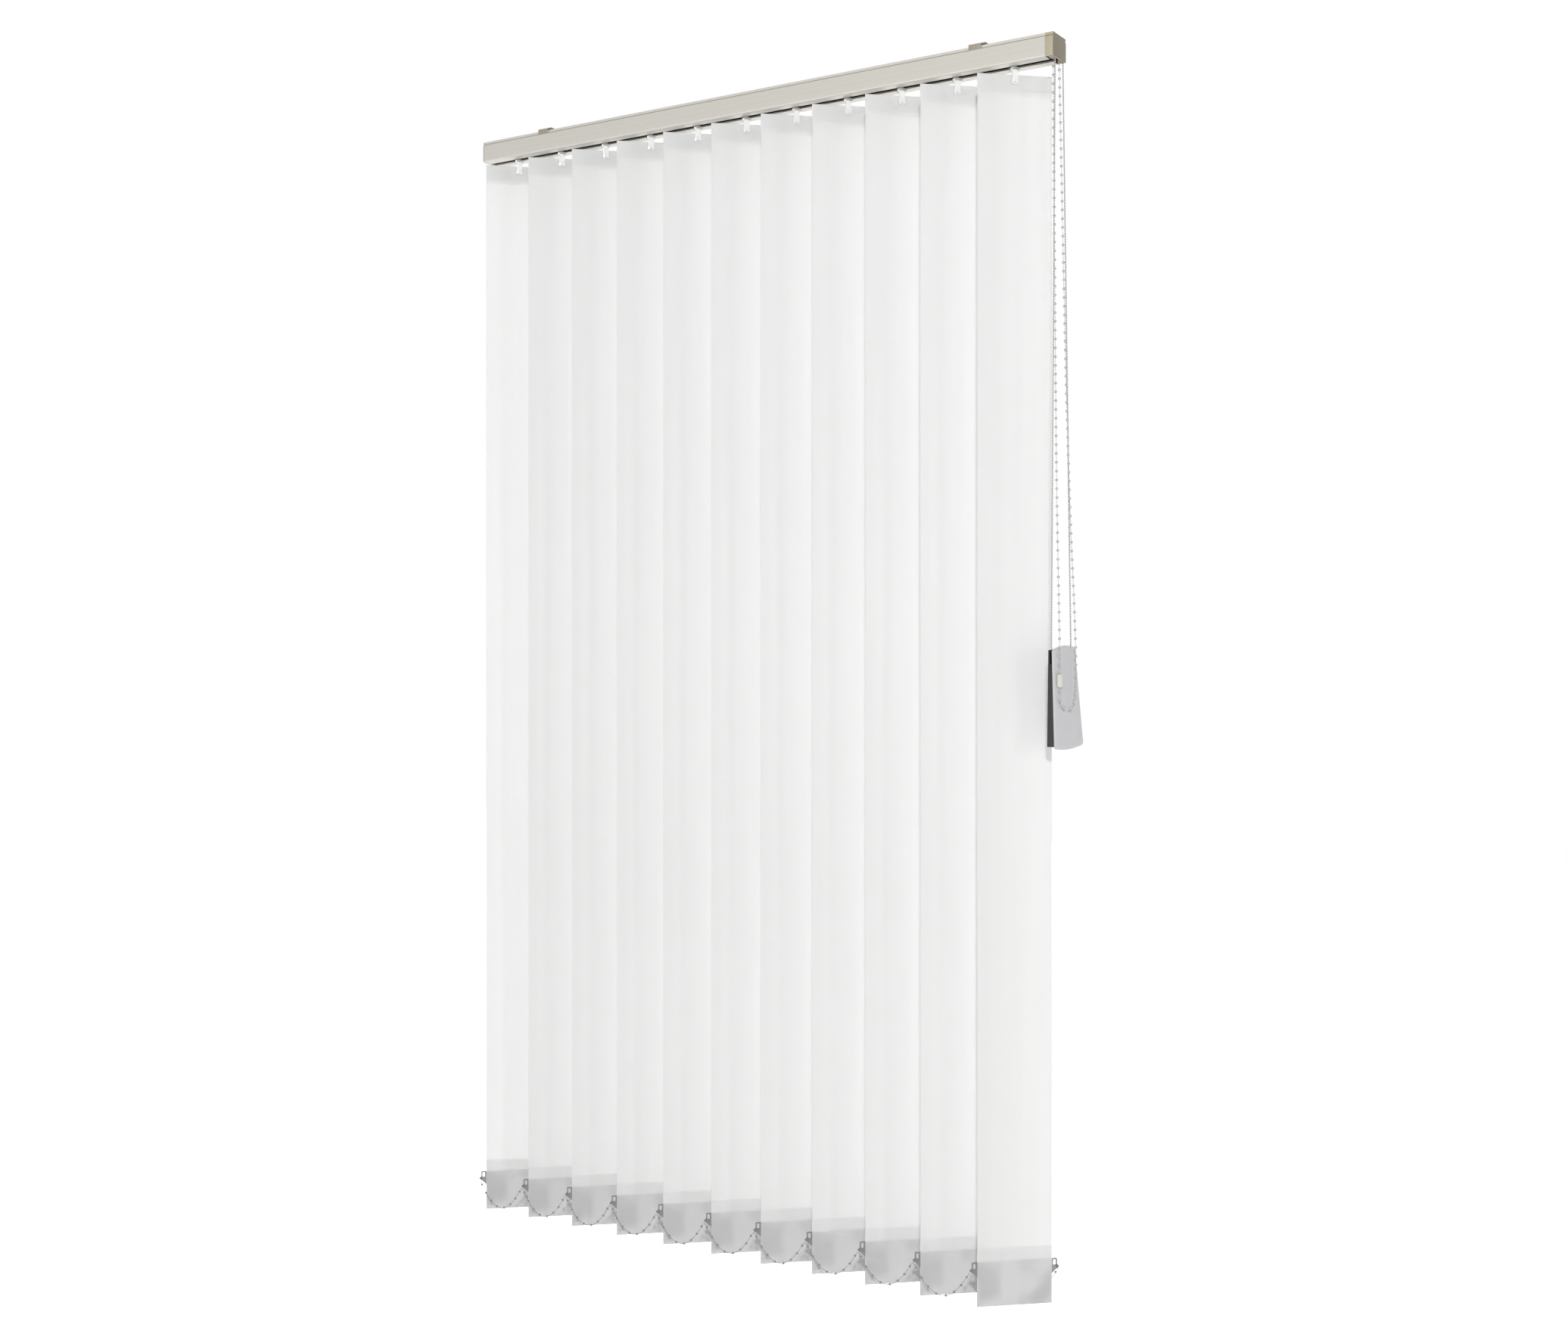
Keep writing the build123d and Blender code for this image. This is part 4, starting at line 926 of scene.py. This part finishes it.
# Moulded acetal in the weights' grey, smooth and slightly waxy.
chain_grey = moulded_plastic("moulded_acetal_grey", CHAIN_GREY, CHAIN_SHADE, 0.35, grain=1.5)
turn = math.radians(REST_ANGLE)
for side, body, node in (
    (-1, "spacer_front", "spacer_chain_front"),
    (1, "spacer_back", "spacer_chain_back"),
):
    deep = side * KNOB_REACH * math.sin(turn)
    line, places = [], []
    for number in range(LOUVRES - 1):
        start = FIRST_AXIS + number * PITCH + side * KNOB_REACH * math.cos(turn) + SPAN_INSET
        stop = start + PITCH - 2 * SPAN_INSET
        pull = ((start + stop) / 2, deep, SPAN_TOP - 2 * SPAN_SAG)
        span = smooth_route([(start, deep, SPAN_TOP), pull, (stop, deep, SPAN_TOP)])
        begun = measured(line + span[:1])[-1]
        length = measured(span)[-1]
        places += [begun + length * (bead + 0.5) / SPAN_BEADS for bead in range(SPAN_BEADS)]
        line += span
    beads = beaded(line, places, SPAN_BEAD, THREAD, SPAN_SIDES)
    chain = put(f"{body}_beads", joined(node + "_beads", [(beads, chain_grey)]))
    fit(chain, body, node)
    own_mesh(chain)


# Tilt chain: an endless chain of balls moulded on a thread, over the chain wheel in the
# control cap and down past the pendant. A snap clasp joins it on the room side.
WHEEL_CREST = (409.75, 4.2, -7.142)
CLASP_PLACE = (420.15, -9.0)
CLASP_TOP = -728.6
CLASP_FOOT = -743.6
CHAIN_ROUTE = [
    WHEEL_CREST,
    (409.75, -3.758, -7.142),
    (409.9, -3.8, -28.0),
    (413.75, -5.0, -492.5),
    (*CLASP_PLACE, -692.6),
    (*CLASP_PLACE, CLASP_TOP),
    (*CLASP_PLACE, CLASP_FOOT),
    (*CLASP_PLACE, -767.6),
    (431.25, 11.3, -767.6),
    (431.25, 11.3, -692.6),
    (418.75, 16.5, -492.5),
    (409.9, 12.3, -28.0),
    (409.75, 12.158, -7.142),
    WHEEL_CREST,
]
BEAD_SPACING = 10.0
BEAD = 1.7
BEAD_THREAD = 0.32
BEAD_SIDES = 12
CLASP_WIDTH = 7.0
CLASP_THICKNESS = 4.0
CLASP_ROUND = 1.1
CLASP_SQUARENESS = (0.4, 0.45)
CLASP_STEPS = 28
CLASP_NECK = [(0.0, 0.7), (0.4, 1.1), (2.0, 1.3), (2.4, 1.3)]
CLASP_NECK_OUT = 0.6
NECK_SIDES = 14
PENDANT_TURN = 75.0
BEAD_CLEAR = "#CFD0CD"
BEAD_SHADE = "#BFC0BD"
CLASP_PALE = "#DADCD3"
CLASP_SHADE = "#CBCDC3"

# Natural polypropylene: milky, lets a little light through and shines softly.
bead_plastic = moulded_plastic(
    "moulded_polypropylene_natural", BEAD_CLEAR, BEAD_SHADE, 0.24, grain=1.5,
    Transmission_Weight=0.3, IOR=1.49,
)

route = smooth_route(CHAIN_ROUTE)
chain_length = measured(route)[-1]
count = int(chain_length / BEAD_SPACING)
spacing = chain_length / count
clasp_middle = (CLASP_TOP + CLASP_FOOT) / 2
half_clasp = (CLASP_TOP - CLASP_FOOT) / 2
clasp_at = min(range(len(route) // 2), key=lambda i: abs(route[i].z - clasp_middle))
clasp_run = measured(route)[clasp_at]
places = [spacing * (step + 0.5) for step in range(count)]
places = [place for place in places if abs(place - clasp_run) > half_clasp]
beads = beaded(route, places, BEAD, BEAD_THREAD, BEAD_SIDES)
tilt_beads = put("tilt_beads", joined("tilt_beads", [(beads, bead_plastic)]))
fit(tilt_beads, "rail", "tilt_chain")

clasp_pale = moulded_plastic("moulded_acetal_pale", CLASP_PALE, CLASP_SHADE, 0.34, grain=1.5)
oval = []
for step in range(CLASP_STEPS):
    angle = 2 * math.pi * step / CLASP_STEPS
    cos, sin = math.cos(angle), math.sin(angle)
    oval.append((CLASP_WIDTH / 2 * math.copysign(abs(cos) ** CLASP_SQUARENESS[0], cos),
                 half_clasp * math.copysign(abs(sin) ** CLASP_SQUARENESS[1], sin)))
clasp_parts = [stamped([oval], -CLASP_THICKNESS / 2, CLASP_THICKNESS / 2, CLASP_ROUND)]
for side in (1, -1):
    neck_end = (0, 0, side * (half_clasp + CLASP_NECK_OUT))
    clasp_parts.append(turned(CLASP_NECK, NECK_SIDES, (0, 0, -side), neck_end))
clasp = put("chain_clasp", joined("clasp", [(part, clasp_pale) for part in clasp_parts]))
clasp.matrix_world = Matrix.Translation(
    Vector((*CLASP_PLACE, clasp_middle)) * MM
) @ Matrix.Rotation(math.radians(PENDANT_TURN), 4, "Z")
fit(clasp, "rail", "chain_connector")


# Draw cord: laid from three strands of polyester, one of them dark. It runs along the rail,
# round the return pulley, and hangs from the control cap as a loop through the pendant.
CORD_EXIT = (413.35, -6.5, -26.9)
CORD_RETURN = (413.35, 15.0, -26.9)
PENDANT_PLACE = (415.85, 4.5, -699.6)
PENDANT_LEAN = 5.0
CORD_MOUTH = 17.5
CORD_LEAD = 10.0
SHEAVE_CORNER = 7.05
SHEAVE_FOOT = -37.3
CORD = 0.8
LAY_LENGTH = 3.2
STRANDS = 3
STRAND_POINTS = 4
STRAND_GROOVE = 0.72
LAY_STEPS = 6
CORD_PALE = "#DADAD8"
CORD_PALE_SHADE = "#CACAC8"
CORD_DARK = "#858588"
CORD_DARK_SHADE = "#757579"

pendant_matrix = Matrix.Translation(Vector(PENDANT_PLACE) * MM) @ Matrix.Rotation(
    math.radians(PENDANT_TURN), 4, "Z"
) @ Matrix.Rotation(math.radians(-PENDANT_LEAN), 4, "Y")


def pendant_point(across, up):
    """Place of a point in the pendant's middle plane, in millimetres."""
    return (pendant_matrix @ Vector((across * MM, 0, up * MM))) / MM


def laid_cord(points, radius, finishes):
    """Mesh of a cord of three twisted strands along a line, the first strand dark."""
    length = measured(points)[-1]
    count = max(int(length / (LAY_LENGTH / LAY_STEPS)), 2)
    stations, rings = [], []
    for step in range(count + 1):
        distance = length * step / count
        twist = 2 * math.pi * distance / LAY_LENGTH
        ring = []
        for strand in range(STRANDS):
            for point in range(STRAND_POINTS):
                share = point / STRAND_POINTS
                swell = 1.0 if point else STRAND_GROOVE
                ring.append((twist + 2 * math.pi * (strand + share) / STRANDS, radius * swell))
        stations.append(distance)
        rings.append(ring)
    mesh = swept(points, stations, rings)
    for finish in finishes:
        mesh.materials.append(finish)
    around = STRANDS * STRAND_POINTS
    strands = [1 if (face % around) < STRAND_POINTS else 0 for face in range(count * around)]
    mesh.polygons.foreach_set("material_index", strands + [0, 0])
    mesh.polygons.foreach_set("use_smooth", [True] * len(mesh.polygons))
    return mesh


# Twisted polyester: matt strands with fine fibres along them, pale and dark by turns.
cord_finishes = [
    moulded_plastic("twisted_polyester_pale", CORD_PALE, CORD_PALE_SHADE, 0.8, grain=0.6),
    moulded_plastic("twisted_polyester_dark", CORD_DARK, CORD_DARK_SHADE, 0.8, grain=0.6),
]
mouths = [pendant_point(-CORD_MOUTH, 0), pendant_point(CORD_MOUTH, 0)]
leads = []
for mouth, top in zip(mouths, (Vector(CORD_EXIT), Vector(CORD_RETURN))):
    leads.append(mouth + (top - mouth).normalized() * CORD_LEAD)
cord_route = smooth_route([
    CORD_EXIT, leads[0], mouths[0],
    pendant_point(-SHEAVE_CORNER, SHEAVE_FOOT), pendant_point(SHEAVE_CORNER, SHEAVE_FOOT),
    mouths[1], leads[1], CORD_RETURN,
])
cord_mesh = laid_cord(cord_route, CORD, cord_finishes)
draw_cord = put("draw_cord", cord_mesh)
fit(draw_cord, "rail", "draw_cord_loop")
dress_node("draw_cord_rail", cord_finishes[0])


# Pendant: a two-part shell that rides on the cord loop and keeps it tight. A pale crowned
# cover is clipped to a charcoal body, whose open mouth lets the cord in to the sheave.
COVER_TOP = 20.1
COVER_FOOT = 25.6
COVER_LENGTH = 112.2
COVER_CROWN = 3.5
COVER_BELLY = 2.8
COVER_CORNER = 3.2
COVER_BACK = -2.6
COVER_FRONT = -4.6
COVER_RIM = 1.4
COVER_DOME = ((4.0, 0.25), (8.0, 0.42), (13.0, 0.5))
COVER_STEPS = 12
COVER_SPINE = (26.0 - COVER_LENGTH, -18.0)
CORNER_STEPS = 6
RIM_STEPS = 5
COVER_GAP = 0.3
COVER_REACH = 0.9
BODY_ROUND = 0.5
COVER_GREY = "#C9C9CC"
COVER_SHADE = "#BFBFC3"
BODY_CHARCOAL = "#202020"
BODY_SHADE = "#1A1A1A"


def bow(start, stop, rise, steps):
    """Points of a shallow bow between two points, with its last point left to the next edge."""
    points = []
    for step in range(steps):
        share = step / steps
        points.append((start[0] + (stop[0] - start[0]) * share,
                       start[1] + (stop[1] - start[1]) * share + rise * 4 * share * (1 - share)))
    return points


def eased(outline, corners, radius):
    """Outline with its named corners rounded by a short bow of points."""
    made = []
    for number, here in enumerate(outline):
        if number not in corners:
            made.append(here)
            continue
        spot = Vector(here)
        ends = []
        for step in (-1, 1):
            index, walked, mark = number, 0.0, spot
            while walked < radius:
                index = (index + step) % len(outline)
                follow = Vector(outline[index])
                gap = (follow - mark).length
                if walked + gap >= radius:
                    mark = mark.lerp(follow, (radius - walked) / gap)
                    break
                walked, mark = walked + gap, follow
            ends.append(mark)
        for step in range(CORNER_STEPS + 1):
            share = step / CORNER_STEPS
            rest = 1 - share
            made.append(tuple(ends[0] * rest ** 2 + spot * 2 * share * rest + ends[1] * share ** 2))
    return made


def cover_mesh():
    """Cover in the pendant's own frame: rings from its back edge over a rounded rim to its front."""
    steps = COVER_STEPS
    outline = bow((-COVER_FOOT, -COVER_LENGTH), (COVER_FOOT, -COVER_LENGTH), -COVER_BELLY, steps)
    outline += bow((COVER_FOOT, -COVER_LENGTH), (COVER_TOP, 0), 0, steps)
    outline += bow((COVER_TOP, 0), (-COVER_TOP, 0), COVER_CROWN, steps)
    outline += bow((-COVER_TOP, 0), (-COVER_FOOT, -COVER_LENGTH), 0, steps)
    outline = eased(outline, (0, steps, 2 * steps, 3 * steps), COVER_CORNER)
    clean = [outline[0]]
    for point in outline[1:]:
        if (Vector(point) - Vector(clean[-1])).length > COVER_GAP:
            clean.append(point)
    rim_back = COVER_FRONT + COVER_RIM
    levels = [(0.0, COVER_BACK), (0.0, rim_back)]
    for step in range(1, RIM_STEPS + 1):
        angle = math.pi / 2 * step / RIM_STEPS
        levels.append((COVER_RIM * (1 - math.cos(angle)), rim_back - COVER_RIM * math.sin(angle)))
    levels += [(inset, COVER_FRONT - rise) for inset, rise in COVER_DOME]
    work = bmesh.new()
    rings = []
    for inset, depth in levels:
        ring = []
        for x, z in clean:
            spot = Vector((x, z))
            along = min(max(z, COVER_SPINE[0]), COVER_SPINE[1])
            inward = Vector((0, along)) - spot
            ring_spot = spot + inward.normalized() * min(inset, inward.length * COVER_REACH)
            ring.append(work.verts.new((ring_spot.x * MM, depth * MM, ring_spot.y * MM)))
        rings.append(ring)
    skin(work, rings)
    bmesh.ops.recalc_face_normals(work, faces=work.faces)
    return as_mesh(work, "cover")


# ABS, moulded: the cover a satin silver-grey, the body charcoal with a matt grain.
cover_abs = moulded_plastic("moulded_abs_silver_grey", COVER_GREY, COVER_SHADE, 0.36, grain=1.2)
body_abs = moulded_plastic("moulded_abs_charcoal", BODY_CHARCOAL, BODY_SHADE, 0.48)
cover = put("pendant_front", joined("pendant_front", [(cover_mesh(), cover_abs)]))
cover.matrix_world = pendant_matrix
fit(cover, "rail", "pendant_cover")
shell = softened("pendant_shell", "pendant_body", BODY_ROUND, body_abs)
fit(shell, "rail", "pendant_body")


# Studio: a plain pale floor well below the hanging blind, a white surround that is brighter
# behind the cloth than beside it, a soft key just over the camera and a weak light from the
# control end.
FLOOR_HEIGHT = -2.3
FLOOR_HALF = 14.0
FLOOR_PALE = "#E9E9E7"
FLOOR_LIFT = 0.95
SURROUND_FRONT = 0.27
SURROUND_BACK = 1.82
SURROUND_HEADING = (-0.62, 0.78, 0.0)
SURROUND_START = -0.2
KEY_PLACE = (1.98, -3.07, 0.69)
KEY_AIM = (0.0, 0.0, -5.1)
KEY_POWER = 96.0
KEY_WIDTH = 0.26
SIDE_HEADING = (1.0, -0.25, 0.08)
SIDE_STRENGTH = 0.3
SIDE_SPREAD = 7.0

ground = bpy.data.meshes.new("floor")
corners = [
    (x * FLOOR_HALF, y * FLOOR_HALF, FLOOR_HEIGHT) for x, y in ((-1, -1), (1, -1), (1, 1), (-1, 1))
]
ground.from_pydata(corners, [], [(0, 1, 2, 3)])
floor = put("floor", ground)


def seen_rays(tree):
    """1 for rays that look at the studio, straight, in a gloss or through clear plastic."""
    path = add_node(tree, "LightPath").outputs
    either = path["Is Camera Ray"]
    for kind in ("Is Glossy Ray", "Is Transmission Ray"):
        either = add_node(tree, "Math", {0: either, 1: path[kind]}, operation="MAXIMUM").outputs[0]
    return add_node(
        tree, "Math", {0: either, 1: path["Is Diffuse Ray"]}, operation="SUBTRACT", use_clamp=True
    ).outputs[0]


# Painted board: matt and pale, lifted to white where it is looked at, and it keeps the shadow.
board, tree, shader = start_finish("painted_board", Roughness=0.9)
shader.inputs["Base Color"].default_value = linear(FLOOR_PALE)
lift = add_node(tree, "Math", {0: seen_rays(tree), 1: FLOOR_LIFT}, operation="MULTIPLY")
shader.inputs["Emission Color"].default_value = (1, 1, 1, 1)
tree.links.new(lift.outputs[0], shader.inputs["Emission Strength"])
ground.materials.append(board)

world = bpy.data.worlds.new("surround")
world.use_nodes = True
tree = world.node_tree
behind = add_node(
    tree, "VectorMath", {0: add_node(tree, "TexCoord").outputs["Generated"], 1: SURROUND_HEADING},
    operation="DOT_PRODUCT",
)
around = add_node(
    tree, "MapRange",
    {"Value": behind.outputs["Value"], "From Min": SURROUND_START,
     "To Min": SURROUND_FRONT, "To Max": SURROUND_BACK},
    interpolation_type="SMOOTHSTEP",
)
level = add_node(
    tree, "Mix", {0: seen_rays(tree), 2: around.outputs["Result"], 3: 1.0}, data_type="FLOAT"
)
tree.nodes["Background"].inputs["Color"].default_value = (1, 1, 1, 1)
tree.links.new(level.outputs[0], tree.nodes["Background"].inputs["Strength"])
bpy.context.scene.world = world

lamp = bpy.data.lights.new("key", "AREA")
lamp.shape = "DISK"
lamp.size = KEY_WIDTH
lamp.energy = KEY_POWER
key = put("key", lamp)
key.location = KEY_PLACE
key.rotation_mode = "QUATERNION"
key.rotation_quaternion = (Vector(KEY_PLACE) - Vector(KEY_AIM)).to_track_quat("Z", "Y")
key.visible_camera = False
lamp = bpy.data.lights.new("side", "SUN")
lamp.energy = SIDE_STRENGTH
lamp.angle = math.radians(SIDE_SPREAD)
side_light = put("side", lamp)
side_light.rotation_mode = "QUATERNION"
side_light.rotation_quaternion = Vector(SIDE_HEADING).to_track_quat("Z", "Y")
